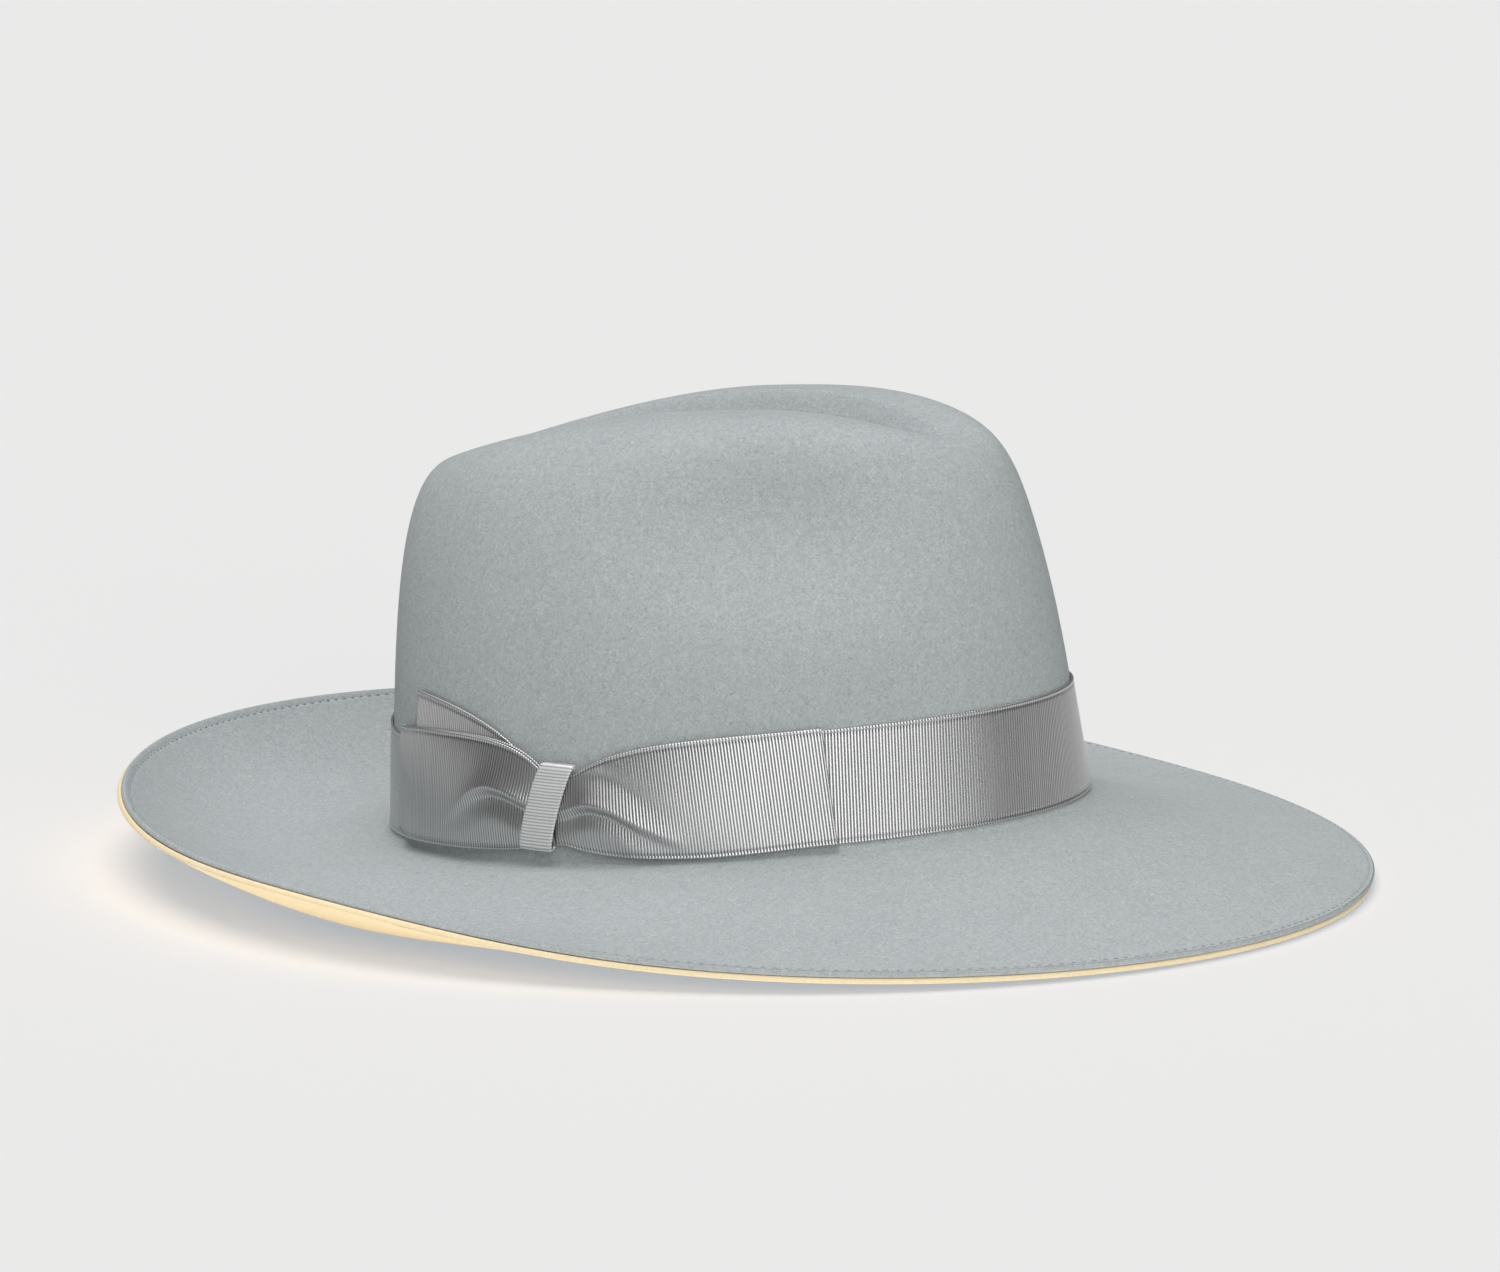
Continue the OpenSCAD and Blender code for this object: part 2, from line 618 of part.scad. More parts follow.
// Point on the felt's facets, between two of its rows
function facet_point(a, f) = let (
  shares = felt_shares(a),
  k = max([for (i = [0:len(shares) - 2]) if (shares[i] <= f) i])
) mix(wall_point(a, shares[k]), wall_point(a, shares[k + 1]), (f - shares[k]) / (shares[k + 1] - shares[k]));
module lining_side() {
  function side_shares(a) = let (shares = felt_shares(a))
    concat([lining_foot / crown_height(a)], [for (f = shares) if (f > lining_foot / crown_height(a) && f < lining_seam) f],
           [lining_seam]);
  columns = [for (a = strip_angles(180)) [for (f = side_shares(a)) facet_point(a, f)]];
  grid = [for (j = [0:len(columns[0]) - 1]) [for (column = columns) column[j]]];
  color(satin_color) at_rest() sheet(grid, -lining_in - lining_thickness, -lining_in);
}
module lining_tip() {
  // The felt's rows that the tip follows: all of them in the pinches, and fewer over the ridge
  felt_steps = concat([for (j = [1:6]) j], [8, 10, wall_steps]);
  function seam_share(a) = lining_seam + lining_seam_gap / crown_height(a);
  tip_rows = concat(
    [[for (a = round_angles) facet_point(a, seam_share(a))]],
    [for (j = felt_steps) if (climb(j) > lining_seam) [for (a = round_angles) wall_point(a, climb(j))]]
  );
  color(satin_color) at_rest()
    dome(concat(tip_rows, dent_rows), crease, -lining_in - lining_thickness, -lining_in);
}

felt_body();
underbrim();
edge_stitching();
hat_band();
bow_front_loop();
bow_rear_loop();
bow_tail();
bow_knot();
sweatband();
sweatband_reed();
sweatband_tie();
lining_side();
lining_tip();
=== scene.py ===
"""Looks of a wide-brimmed felt fedora with a teardrop crown, a contrasting under-brim and a ribbon bow.

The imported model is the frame. Each soft piece is built again here, finer, drawn level with the head plane at
height 0 and then set down as it rests on the table. Shapes are in millimetres and degrees until they are
placed. Front is -Y and the wearer's right is -X. Angles run round the hat from the front, positive towards
+X.
"""

import math

import bmesh
import bpy
import numpy as np
from mathutils import Matrix, Vector


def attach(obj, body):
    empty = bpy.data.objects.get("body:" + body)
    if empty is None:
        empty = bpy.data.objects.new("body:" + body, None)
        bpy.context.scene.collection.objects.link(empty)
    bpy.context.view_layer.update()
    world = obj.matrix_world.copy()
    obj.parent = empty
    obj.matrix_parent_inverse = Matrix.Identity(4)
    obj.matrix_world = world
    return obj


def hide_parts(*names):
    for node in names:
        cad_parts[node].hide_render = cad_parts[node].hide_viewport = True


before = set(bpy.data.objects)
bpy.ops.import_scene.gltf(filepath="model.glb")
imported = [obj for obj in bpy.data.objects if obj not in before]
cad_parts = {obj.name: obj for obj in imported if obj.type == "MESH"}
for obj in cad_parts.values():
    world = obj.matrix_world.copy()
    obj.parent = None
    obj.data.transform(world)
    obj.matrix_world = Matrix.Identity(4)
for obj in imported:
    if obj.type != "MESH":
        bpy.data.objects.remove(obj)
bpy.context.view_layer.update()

# Head opening
HEAD_LENGTH = 204.0
HEAD_WIDTH = 168.0
HEAD_EGG = 0.07
# Felt
FELT_THICKNESS = 1.6
UNDERBRIM_THICKNESS = 1.6
BREAK_RADIUS = 3.4
# Crown
SIDE_HEIGHT = 116.5
FRONT_HEIGHT = 104.0
BACK_HEIGHT = 104.0
FRONT_FALL = 3.5
BACK_FALL = 1.8
DENT_LENGTH = 140.0
DENT_WIDTH = 51.0
DENT_TAPER = 0.1
DENT_FLOOR = 92.0
DENT_FLOOR_BACK = 10.0
DENT_FALL = 0.8
DENT_STEEPNESS = 1.25
# The dent runs down from the ridge to a spine along the middle, which is this share of the ridge's length
SPINE_SHARE = 0.72
SHOULDER = 4.0
WALL_LEAN = 0.27
PINCH_DEPTH = 11.0
PINCH_ANGLE = 60.0
PINCH_SPREAD = 25.0
PINCH_MIDDLE = 0.755
PINCH_REACH = 0.19
# Brim
BRIM_LENGTH = 355.0
BRIM_WIDTH = 326.5
BRIM_FORWARD = 2.5
BRIM_EGG = 0.04
FRONT_DROP = 27.0
SIDE_DROP = 4.5
BACK_RISE = 26.5
FRONT_CURL = 1.05
SIDE_CURL = 1.3
BACK_CURL = 3.4
SIDE_DISH = 8.2
SIDE_LIFT = 4.0
DISH_ANGLE = 104.0
DISH_SPREAD = 22.5
# Makes the highest value of share**2 * (1 - share) equal to 1
DISH_SCALE = 27 / 4
# Ribbon and bow
RIBBON_WIDTH = 32.0
BOW_ANGLE = 98.0
FRONT_LOOP = 77.0
REAR_LOOP = 70.0
TAIL_LENGTH = 60.0
KNOT_HEIGHT = 22.5
KNOT_WIDTH = 10.2
KNOT_LEAN = 7.0
KNOT_SHIFT = -1.8
KNOT_BOW = 0.75
KNOT_TILT = 0.08
KNOT_FOOT = 4.95
FRONT_GATHER = 14.0
REAR_GATHER = 22.0
# Inside
SWEATBAND_WIDTH = 35.0
LEATHER_THICKNESS = 1.0
REED_DIAMETER = 2.2
LINING_THICKNESS = 0.4
LINING_SEAM = 0.65
LINING_GAP = 0.3
TIE_WIDTH = 6.0
TIE_SPAN = 26.0
# Stitching
STITCH_INSET = 1.6
THREAD_DIAMETER = 0.6
STITCH_LENGTH = 2.2
STITCHES = 336
# Clearance between pieces that lie against each other
LAY_GAP = 0.2

METRES = 0.001
# Points closer than this are one point, in metres
WELD_DISTANCE = 2e-6
# Shortest length that is divided by
SHORTEST = 1e-9
MM_PER_DEGREE = math.pi / 180 * HEAD_LENGTH / 2


# Plain geometry
def mix(p, q, share):
    return p + (q - p) * share


def smooth(x, start, end):
    """0 before start, 1 after end and a smooth step between."""
    t = np.clip((x - start) / (end - start), 0, 1)
    return t * t * (3 - 2 * t)


def bell(x, spread):
    return np.exp(-np.square(x / spread))


def fading(x, start, reach):
    """1 up to start, then fading away over a few times reach."""
    return np.exp(-np.maximum(0, x - start) / reach)


def sine(a):
    return np.sin(np.radians(a))


def cosine(a):
    return np.cos(np.radians(a))


def unit(v):
    return v / np.maximum(np.linalg.norm(v, axis=-1, keepdims=True), SHORTEST)


def point(plan, height):
    return np.concatenate([plan, np.asarray(height)[..., None]], -1)


def oval(a, length, width, egg):
    return np.stack([width / 2 * sine(a) * (1 - egg * cosine(a)), -length / 2 * cosine(a)], -1)


def around(a, front, side, back):
    """A value that changes smoothly round the hat through its front, side and back values."""
    c = cosine(a)
    return side + (front - back) / 2 * c + ((front + back) / 2 - side) * c * c


# Brim and the bend at its root
def brim_root(a):
    return oval(a, HEAD_LENGTH + 2 * BREAK_RADIUS, HEAD_WIDTH + 2 * BREAK_RADIUS, HEAD_EGG)


def brim_rim(a):
    return oval(a, BRIM_LENGTH, BRIM_WIDTH, BRIM_EGG) - np.array([0, BRIM_FORWARD])


def from_front(a):
    """Angle from the front, the same on both sides."""
    return np.abs((a + 180) % 360 - 180)


def brim_point(a, share):
    dished = bell(from_front(a) - DISH_ANGLE, DISH_SPREAD)
    rim_height = around(a, -FRONT_DROP, -SIDE_DROP, BACK_RISE) + SIDE_LIFT * dished
    plan = mix(brim_root(a), brim_rim(a), share[..., None])
    height = rim_height * share ** around(a, FRONT_CURL, SIDE_CURL, BACK_CURL)
    return point(plan, height - SIDE_DISH * dished * DISH_SCALE * share**2 * (1 - share))


def brim_reach(a):
    return np.linalg.norm(brim_rim(a) - brim_root(a), axis=-1)


def bend_point(a, turn):
    out = BREAK_RADIUS * (1 - sine(turn))
    plan = oval(a, HEAD_LENGTH + 2 * out, HEAD_WIDTH + 2 * out, HEAD_EGG)
    return point(plan, np.full_like(a, BREAK_RADIUS * (1 - cosine(turn))))


def opening(a, inward):
    """Plan of the head opening, moved in from the felt's outer face."""
    return oval(a, HEAD_LENGTH - 2 * inward, HEAD_WIDTH - 2 * inward, HEAD_EGG)


# Crown
def teardrop(a):
    return sine(a) * np.abs(sine(a / 2)) ** DENT_TAPER


# Half width of the plain teardrop where it is widest
TEARDROP_PEAK = teardrop(np.arange(60.0, 161.0, 2.0)).max()


def crown_height(a):
    front = np.maximum(0, cosine(a)) ** FRONT_FALL
    back = np.maximum(0, -cosine(a)) ** BACK_FALL
    return SIDE_HEIGHT - (SIDE_HEIGHT - FRONT_HEIGHT) * front - (SIDE_HEIGHT - BACK_HEIGHT) * back


def ridge(a):
    return np.stack([DENT_WIDTH / 2 * teardrop(a) / TEARDROP_PEAK, -DENT_LENGTH / 2 * cosine(a)], -1)


def wall_share(f):
    turn_in = 1 - np.maximum(0, 1 - f**SHOULDER) ** (1 / SHOULDER)
    return WALL_LEAN * f + (1 - WALL_LEAN) * turn_in


def pinch(a, f):
    return PINCH_DEPTH * bell(from_front(a) - PINCH_ANGLE, PINCH_SPREAD) * bell(f - PINCH_MIDDLE, PINCH_REACH)


def wall_point(a, f, out=0.0):
    """Point of the wall at a share of the crown's height, moved out from the felt's outer face."""
    a, f, out = np.broadcast_arrays(np.asarray(a, float), f, out)
    plan = mix(oval(a, HEAD_LENGTH, HEAD_WIDTH, HEAD_EGG), ridge(a), wall_share(f)[..., None])
    moved = 1 + (out - pinch(a, f)) / np.linalg.norm(plan, axis=-1)
    return point(plan * moved[..., None], f * crown_height(a))


def wall_at(a, height, out):
    a, height, out = np.broadcast_arrays(np.asarray(a, float), height, out)
    p = wall_point(a, np.maximum(height, 0) / crown_height(a), out)
    return point(p[..., :2], height)


def axis_height(y):
    """Height of the dent's floor along the middle of the crown."""
    front = -DENT_LENGTH / 2
    back = DENT_LENGTH / 2
    ahead = y < DENT_FLOOR_BACK
    end = np.where(ahead, front, back)
    end_height = np.where(ahead, FRONT_HEIGHT, BACK_HEIGHT)
    share = (y - end) / (DENT_FLOOR_BACK - end)
    return mix(end_height, DENT_FLOOR, np.sin(np.pi / 2 * share) ** DENT_FALL)


def dent_point(a, share):
    top = wall_point(a, 1.0)
    spine = mix(DENT_FLOOR_BACK, top[..., 1], SPINE_SHARE)
    plan = np.stack([top[..., 0] * (1 - share), mix(top[..., 1], spine, share)], -1)
    return point(plan, mix(top[..., 2], axis_height(spine), np.sin(np.pi / 2 * share) ** DENT_STEEPNESS))


# Grids of points: rows run in from the brim's edge and up, columns run round or along
def neighbours(grid, ring):
    if ring:
        return np.roll(grid, -1, 1), np.roll(grid, 1, 1)
    after = np.concatenate([grid[:, 1:], grid[:, -1:]], 1)
    before = np.concatenate([grid[:, :1], grid[:, :-1]], 1)
    return after, before


def normals(grid, ring):
    after, before = neighbours(grid, ring)
    across = np.gradient(grid, axis=0)
    return unit(np.cross(after - before, across))


# Angles of the felt's columns
FELT_COLUMNS = 300
ROUND = np.linspace(0, 360, FELT_COLUMNS, endpoint=False)
# Distances in from the brim's edge, closer together at the edge and beside the stitching
BESIDE_STITCHES = [-0.6, -0.4, -0.25, -0.1, 0.0, 0.1, 0.25, 0.4, 0.6, 0.9]
AT_STITCHES = [STITCH_INSET + distance for distance in BESIDE_STITCHES]
EDGE_DISTANCES = [0.0, 0.35, 0.7, *AT_STITCHES, 3.0, 4.0, 5.5, 8.0, 11.0]
BRIM_STEPS = 30
BEND_STEPS = 8
WALL_STEPS = 64
DENT_STEPS = 22
# Groove that the stitching draws into the felt
GROOVE_DEPTH = 0.18
GROOVE_WIDTH = 0.35


def brim_rows():
    reach = brim_reach(ROUND)
    near_edge = [1 - distance / reach for distance in EDGE_DISTANCES]
    rest = [near_edge[-1] * (1 - (k + 1) / BRIM_STEPS) for k in range(BRIM_STEPS)]
    return np.stack([brim_point(ROUND, share) for share in near_edge + rest])


def groove(rows):
    """How far the felt is drawn in along the stitching, for each of the brim's rows."""
    depth = np.zeros(rows)
    depth[: len(EDGE_DISTANCES)] = GROOVE_DEPTH * bell(np.array(EDGE_DISTANCES) - STITCH_INSET, GROOVE_WIDTH)
    return depth[:, None, None]


def climb(k):
    """Shares of the crown's height, closer together towards the ridge."""
    return np.sin(np.pi / 2 * np.sin(np.pi / 2 * k / WALL_STEPS)) ** (2 / SHOULDER)


def crown_rows():
    bend = [bend_point(ROUND, 90 * (j + 1) / BEND_STEPS) for j in range(BEND_STEPS)]
    wall = [wall_point(ROUND, climb(j + 1.0)) for j in range(WALL_STEPS)]
    dent = [dent_point(ROUND, (j + 1) / DENT_STEPS) for j in range(DENT_STEPS)]
    return np.stack(bend + wall + dent)


# Meshes
def grid_faces(rows, columns, ring_rows, ring_columns):
    j, i = np.meshgrid(
        np.arange(rows if ring_rows else rows - 1),
        np.arange(columns if ring_columns else columns - 1),
        indexing="ij",
    )
    over = (j + 1) % rows
    beside = (i + 1) % columns
    corners = [j * columns + i, j * columns + beside, over * columns + beside, over * columns + i]
    return np.stack(corners, -1).reshape(-1, 4)


REST = {}


def placed(points):
    """Level millimetres as metres in the frame, at rest on the table."""
    turned = points @ REST["turn"].T
    return turned.reshape(-1, 3) * METRES + REST["move"]


def mesh_object(name, points, faces, material, weave=None, weld=True):
    """A smooth closed mesh. weave gives each point's place along and across the flat ribbon, in metres."""
    mesh = bpy.data.meshes.new(name)
    mesh.from_pydata(placed(points).tolist(), [], [face.tolist() for face in faces])
    if weave is not None:
        layer = mesh.uv_layers.new(name="Weave")
        corners = np.zeros(len(mesh.loops), np.int32)
        mesh.loops.foreach_get("vertex_index", corners)
        layer.uv.foreach_set("vector", weave.reshape(-1, 2)[corners].astype(np.float32).ravel())
    work = bmesh.new()
    work.from_mesh(mesh)
    if weld:
        bmesh.ops.remove_doubles(work, verts=work.verts, dist=WELD_DISTANCE)
    bmesh.ops.recalc_face_normals(work, faces=work.faces)
    for face in work.faces:
        face.smooth = True
    work.to_mesh(mesh)
    work.free()
    mesh.materials.append(material)
    piece = bpy.data.objects.new(name, mesh)
    bpy.context.scene.collection.objects.link(piece)
    return piece


def edge_round(outer, inner, radius, steps=3):
    """Rows that round the edge from the last row of outer to the last row of inner, both running outwards."""
    outward = unit(outer[-1] - outer[-2])
    up = unit(outer[-1] - inner[-1])
    upper_middle = outer[-1] - radius * (outward + up)
    lower_middle = inner[-1] - radius * (outward - up)
    turns = np.linspace(0, np.pi / 2, steps + 1)
    upper = [upper_middle + radius * (np.sin(turn) * outward + np.cos(turn) * up) for turn in turns]
    lower = [lower_middle + radius * (np.sin(turn) * outward - np.cos(turn) * up) for turn in turns[::-1]]
    return np.stack(upper + lower)


def strip_faces(rows, columns, ring):
    """Faces of a closed strip: its rows go once round the strip's edge, and its columns run along it."""
    faces = list(grid_faces(rows, columns, True, ring))
    if not ring:
        for k in range(rows // 2 - 1):
            for end in (0, columns - 1):
                corners = [k, k + 1, rows - 2 - k, rows - 1 - k]
                faces.append(np.array([row * columns + end for row in corners]))
    return faces


def strip_mesh(name, section, material, ring, weave=None):
    faces = strip_faces(*section.shape[:2], ring)
    return mesh_object(name, section, faces, material, weave)


# Materials
class Shader:
    """A material whose nodes are added one at a time."""

    def __init__(self, name):
        self.material = bpy.data.materials.new(name)
        self.material.use_nodes = True
        self.tree = self.material.node_tree
        self.surface = self.tree.nodes["Principled BSDF"]

    def put(self, socket, value):
        if isinstance(value, bpy.types.NodeSocket):
            self.tree.links.new(value, socket)
        else:
            socket.default_value = value

    def add(self, kind, inputs, **settings):
        made = self.tree.nodes.new(kind)
        for key, value in settings.items():
            setattr(made, key, value)
        for key, value in inputs.items():
            self.put(made.inputs[key], value)
        return made

    def math(self, operation, first, second=0.0, third=0.0):
        made = self.add("ShaderNodeMath", {0: first, 1: second, 2: third}, operation=operation)
        return made.outputs[0]

    def place(self):
        return self.add("ShaderNodeTexCoord", {}).outputs["Object"]

    def stretched(self, vector, scale):
        return self.add("ShaderNodeMapping", {"Vector": vector, "Scale": scale}).outputs[0]

    def noise(self, vector, scale, detail=2.0, roughness=0.5, distortion=0.0):
        inputs = {"Vector": vector, "Scale": scale, "Detail": detail}
        inputs.update({"Roughness": roughness, "Distortion": distortion})
        return self.add("ShaderNodeTexNoise", inputs).outputs[0]

    def span(self, value, low, high, to_low=0.0, to_high=1.0):
        inputs = {"Value": value, "From Min": low, "From Max": high, "To Min": to_low, "To Max": to_high}
        return self.add("ShaderNodeMapRange", inputs).outputs[0]

    def blend(self, share, first, second):
        return self.add("ShaderNodeMix", {0: share, 6: first, 7: second}, data_type="RGBA").outputs[2]

    def bump(self, height, strength, distance):
        inputs = {"Height": height, "Strength": strength, "Distance": distance}
        return self.add("ShaderNodeBump", inputs).outputs[0]

    def finish(self, **sockets):
        for key, value in sockets.items():
            self.put(self.surface.inputs[key.replace("_", " ")], value)
        return self.material


def colour(red, green, blue):
    """A colour given as it looks on a screen, from 0 to 255."""
    parts = np.array([red, green, blue]) / 255
    linear = np.where(parts <= 0.04045, parts / 12.92, ((parts + 0.055) / 1.055) ** 2.4)
    return (*linear, 1.0)


# Felt: shares of fibres, clumps and clouds in its flecks, and how far the clumps stand out of the nap
FIBRE_SHARE = 0.78
CLUMP_SHARE = 0.16
CLOUD_SHARE = 0.06
CLUMP_HEIGHT = 0.3


def felt_material(name, dark, light):
    s = Shader(name)
    place = s.place()
    fibres = s.noise(place, scale=1300.0, detail=3.0, roughness=0.6, distortion=1.5)
    clumps = s.noise(place, scale=420.0, detail=3.0, roughness=0.6, distortion=0.6)
    clouds = s.noise(place, scale=38.0)
    speckle = s.math("MULTIPLY_ADD", fibres, FIBRE_SHARE, s.math("MULTIPLY", clumps, CLUMP_SHARE))
    speckle = s.math("MULTIPLY_ADD", clouds, CLOUD_SHARE, speckle)
    tone = s.span(speckle, low=0.3, high=0.7)
    height = s.math("MULTIPLY_ADD", clumps, CLUMP_HEIGHT, fibres)
    return s.finish(
        Base_Color=s.blend(tone, dark, light),
        Roughness=0.95,
        Specular_IOR_Level=0.1,
        Normal=s.bump(height, strength=0.4, distance=0.0003),
    )


# Grosgrain: pitch of its ribs, and distances in from its edge where the cord ends and a darker line starts,
# fades and ends, in metres
RIB_PITCH = 0.00088
CORD_END = 0.00085
LINE_START = 0.00125
LINE_FADE = 0.0014
LINE_END = 0.0021
# How strongly threads, streaks, line and cord change its tone, and how far threads stand out beside the ribs
THREAD_TONE = 0.5
STREAK_TONE = 0.25
LINE_TONE = 0.9
CORD_TONE = 0.12
THREAD_HEIGHT = 0.05


def grosgrain_material(name, painted_shade_valley, painted_highlight_crest, metallic):
    s = Shader(name)
    weave = s.add("ShaderNodeUVMap", {}, uv_map="Weave").outputs[0]
    flat = s.add("ShaderNodeSeparateXYZ", {0: weave})
    along = flat.outputs[0]
    across = flat.outputs[1]
    phase = s.math("MULTIPLY", along, math.pi / RIB_PITCH)
    rib = s.math("ABSOLUTE", s.math("SINE", phase))
    from_edge = s.math("MINIMUM", across, s.math("SUBTRACT", RIBBON_WIDTH * METRES, across))
    inside = s.span(from_edge, low=CORD_END, high=LINE_START)
    line = s.math("MULTIPLY", inside, s.span(from_edge, low=LINE_END, high=LINE_FADE))
    line = s.math("MULTIPLY", line, s.span(rib, low=0.95, high=0.35, to_high=LINE_TONE))
    threads = s.noise(s.stretched(weave, (2.0, 1.0, 1.0)), scale=1800.0)
    streaks = s.noise(s.stretched(weave, (1.0, 0.02, 1.0)), scale=900.0, detail=1.0)
    # The tone follows the ribs: painted shade in the valleys between them and a painted highlight on their
    # crests.
    tone = s.math("MULTIPLY_ADD", s.math("SUBTRACT", threads, 0.5), THREAD_TONE, rib)
    tone = s.math("MULTIPLY_ADD", s.math("SUBTRACT", streaks, 0.5), STREAK_TONE, tone)
    tone = s.math("SUBTRACT", tone, line)
    edge_tone = s.math("MULTIPLY_ADD", s.math("SUBTRACT", 1.0, inside), CORD_TONE, tone)
    height = s.math("MULTIPLY_ADD", threads, THREAD_HEIGHT, rib)
    return s.finish(
        Base_Color=s.blend(s.span(edge_tone, low=0.0, high=1.1), painted_shade_valley, painted_highlight_crest),
        Metallic=metallic,
        Roughness=0.3,
        Specular_IOR_Level=0.5,
        Normal=s.bump(height, strength=0.5, distance=0.0002),
    )


LEATHER_CREASE_TONE = 0.35


def leather_material(name, dark, light):
    s = Shader(name)
    place = s.place()
    pores = s.add("ShaderNodeTexVoronoi", {"Vector": place, "Scale": 900.0}, feature="DISTANCE_TO_EDGE")
    creases = s.span(pores.outputs[0], low=0.0, high=0.25)
    patches = s.noise(place, scale=60.0, detail=3.0)
    tone = s.math("MULTIPLY_ADD", creases, LEATHER_CREASE_TONE, patches)
    return s.finish(
        Base_Color=s.blend(s.span(tone, low=0.35, high=1.0), dark, light),
        Roughness=s.span(patches, low=0.3, high=0.7, to_low=0.42, to_high=0.58),
        Specular_IOR_Level=0.4,
        Normal=s.bump(creases, strength=0.35, distance=0.00012),
    )


SATIN_THREAD_TONE = 0.5


def satin_material(name, dark, light):
    s = Shader(name)
    place = s.place()
    # Soft lighter and darker patches stand in for folds in the satin: painted shade and painted highlight.
    painted_fold_shade = s.noise(place, scale=45.0)
    threads = s.noise(s.stretched(place, (1.0, 1.0, 12.0)), scale=900.0)
    tone = s.math("MULTIPLY_ADD", threads, SATIN_THREAD_TONE, painted_fold_shade)
    return s.finish(
        Base_Color=s.blend(s.span(tone, low=0.4, high=1.1), dark, light),
        Roughness=0.34,
        Specular_IOR_Level=0.5,
        Sheen_Weight=0.2,
        Sheen_Roughness=0.3,
        Normal=s.bump(threads, strength=0.15, distance=0.0001),
    )


def thread_material(name, dark, light):
    s = Shader(name)
    twist = s.noise(s.place(), scale=2600.0)
    return s.finish(
        Base_Color=s.blend(s.span(twist, low=0.35, high=0.7), dark, light),
        Roughness=0.7,
        Specular_IOR_Level=0.3,
        Normal=s.bump(twist, strength=0.4, distance=0.0001),
    )


FELT = felt_material("felt_grey", colour(150, 156, 157), colour(196, 201, 202))
UNDERFELT = felt_material("felt_cream", colour(243, 219, 172), colour(253, 239, 205))
# Of each grosgrain's two colours, the darker is painted shade in the ribs' valleys and the lighter a painted
# highlight on their crests.
GROSGRAIN = grosgrain_material("grosgrain_grey", colour(122, 123, 124), colour(218, 218, 218), 0.8)
# The knot is the same ribbon, painted lighter: painted light on the knot.
KNOT_GROSGRAIN_PAINTED_LIGHTER = grosgrain_material("grosgrain_knot_painted_lighter", colour(160, 161, 161), colour(236, 236, 235), 0.15)
LEATHER = leather_material("leather_taupe", colour(116, 96, 78), colour(156, 132, 109))
SATIN = satin_material("satin_silver", colour(186, 187, 187), colour(222, 222, 220))
THREAD = thread_material("thread_grey", colour(146, 152, 154), colour(176, 182, 183))

# Felt: the crown and the top of the brim are one piece
EDGE_RADIUS = 0.45
brim = brim_rows()
brim_count = len(brim)
felt_grid = np.concatenate([brim, crown_rows()])
felt_normals = normals(felt_grid, True)
# The two sides of the dent meet along its spine, so the normals there lie in the middle plane
felt_normals[-1] = unit(felt_normals[-2] * np.array([0, 1, 1]))

# Rest: the front edge and the rear of the brim touch the table
UNDERBRIM_IN = FELT_THICKNESS + LAY_GAP
underside = brim - (UNDERBRIM_IN + UNDERBRIM_THICKNESS) * felt_normals[:brim_count]
front_foot = underside[0, 0]
rear_feet = underside[:, FELT_COLUMNS // 2]
rest_tilt = np.arctan(((rear_feet[:, 2] - front_foot[2]) / (rear_feet[:, 1] - front_foot[1])).min())
REST["turn"] = np.array(Matrix.Rotation(-rest_tilt, 3, "X"))
REST["move"] = np.zeros(3)
rest_points = placed(np.concatenate([underside.reshape(-1, 3), brim[0]]))
rest_middle = (rest_points[:, 1].min() + rest_points[:, 1].max()) / 2
REST["move"] = np.array([0, -rest_middle, -rest_points[:, 2].min()])

# Felt body, with the groove along its stitching and a rounded edge
top_grid = felt_grid.copy()
top_grid[:brim_count] -= groove(brim_count) * felt_normals[:brim_count]
under_grid = felt_grid - FELT_THICKNESS * felt_normals
rim = edge_round(top_grid[::-1], under_grid[::-1], EDGE_RADIUS)
section = np.concatenate([top_grid[::-1][:-1], rim, under_grid[1:]])
felt_faces = list(grid_faces(len(section), FELT_COLUMNS, False, True))
felt = mesh_object("felt_body_soft", section, felt_faces, FELT)
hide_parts("felt_body")
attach(felt, "root")

# Contrasting felt under the brim, cut to the inside of the head opening
opening_edge = point(opening(ROUND, FELT_THICKNESS), np.zeros(FELT_COLUMNS))
lower = np.concatenate([brim, opening_edge[None]])
lower_normals = normals(lower, True)
lower_top = lower - UNDERBRIM_IN * lower_normals
lower_under = lower - (UNDERBRIM_IN + UNDERBRIM_THICKNESS) * lower_normals
outer_rim = edge_round(lower_top[::-1], lower_under[::-1], EDGE_RADIUS)
section = np.concatenate([lower_top[::-1][:-1], outer_rim, lower_under[1:]])
underbrim = strip_mesh("underbrim_soft", section, UNDERFELT, True)
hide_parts("underbrim")
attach(underbrim, "root")

# Stitches: short threads that dip into the felt at both ends, where they are thinner
STITCH_SIDES = 8
STITCH_STEPS = 6
STITCH_SINK = 0.75
STITCH_ARCH = 0.75
STITCH_END = 0.35
STITCH_TAPER = 0.92


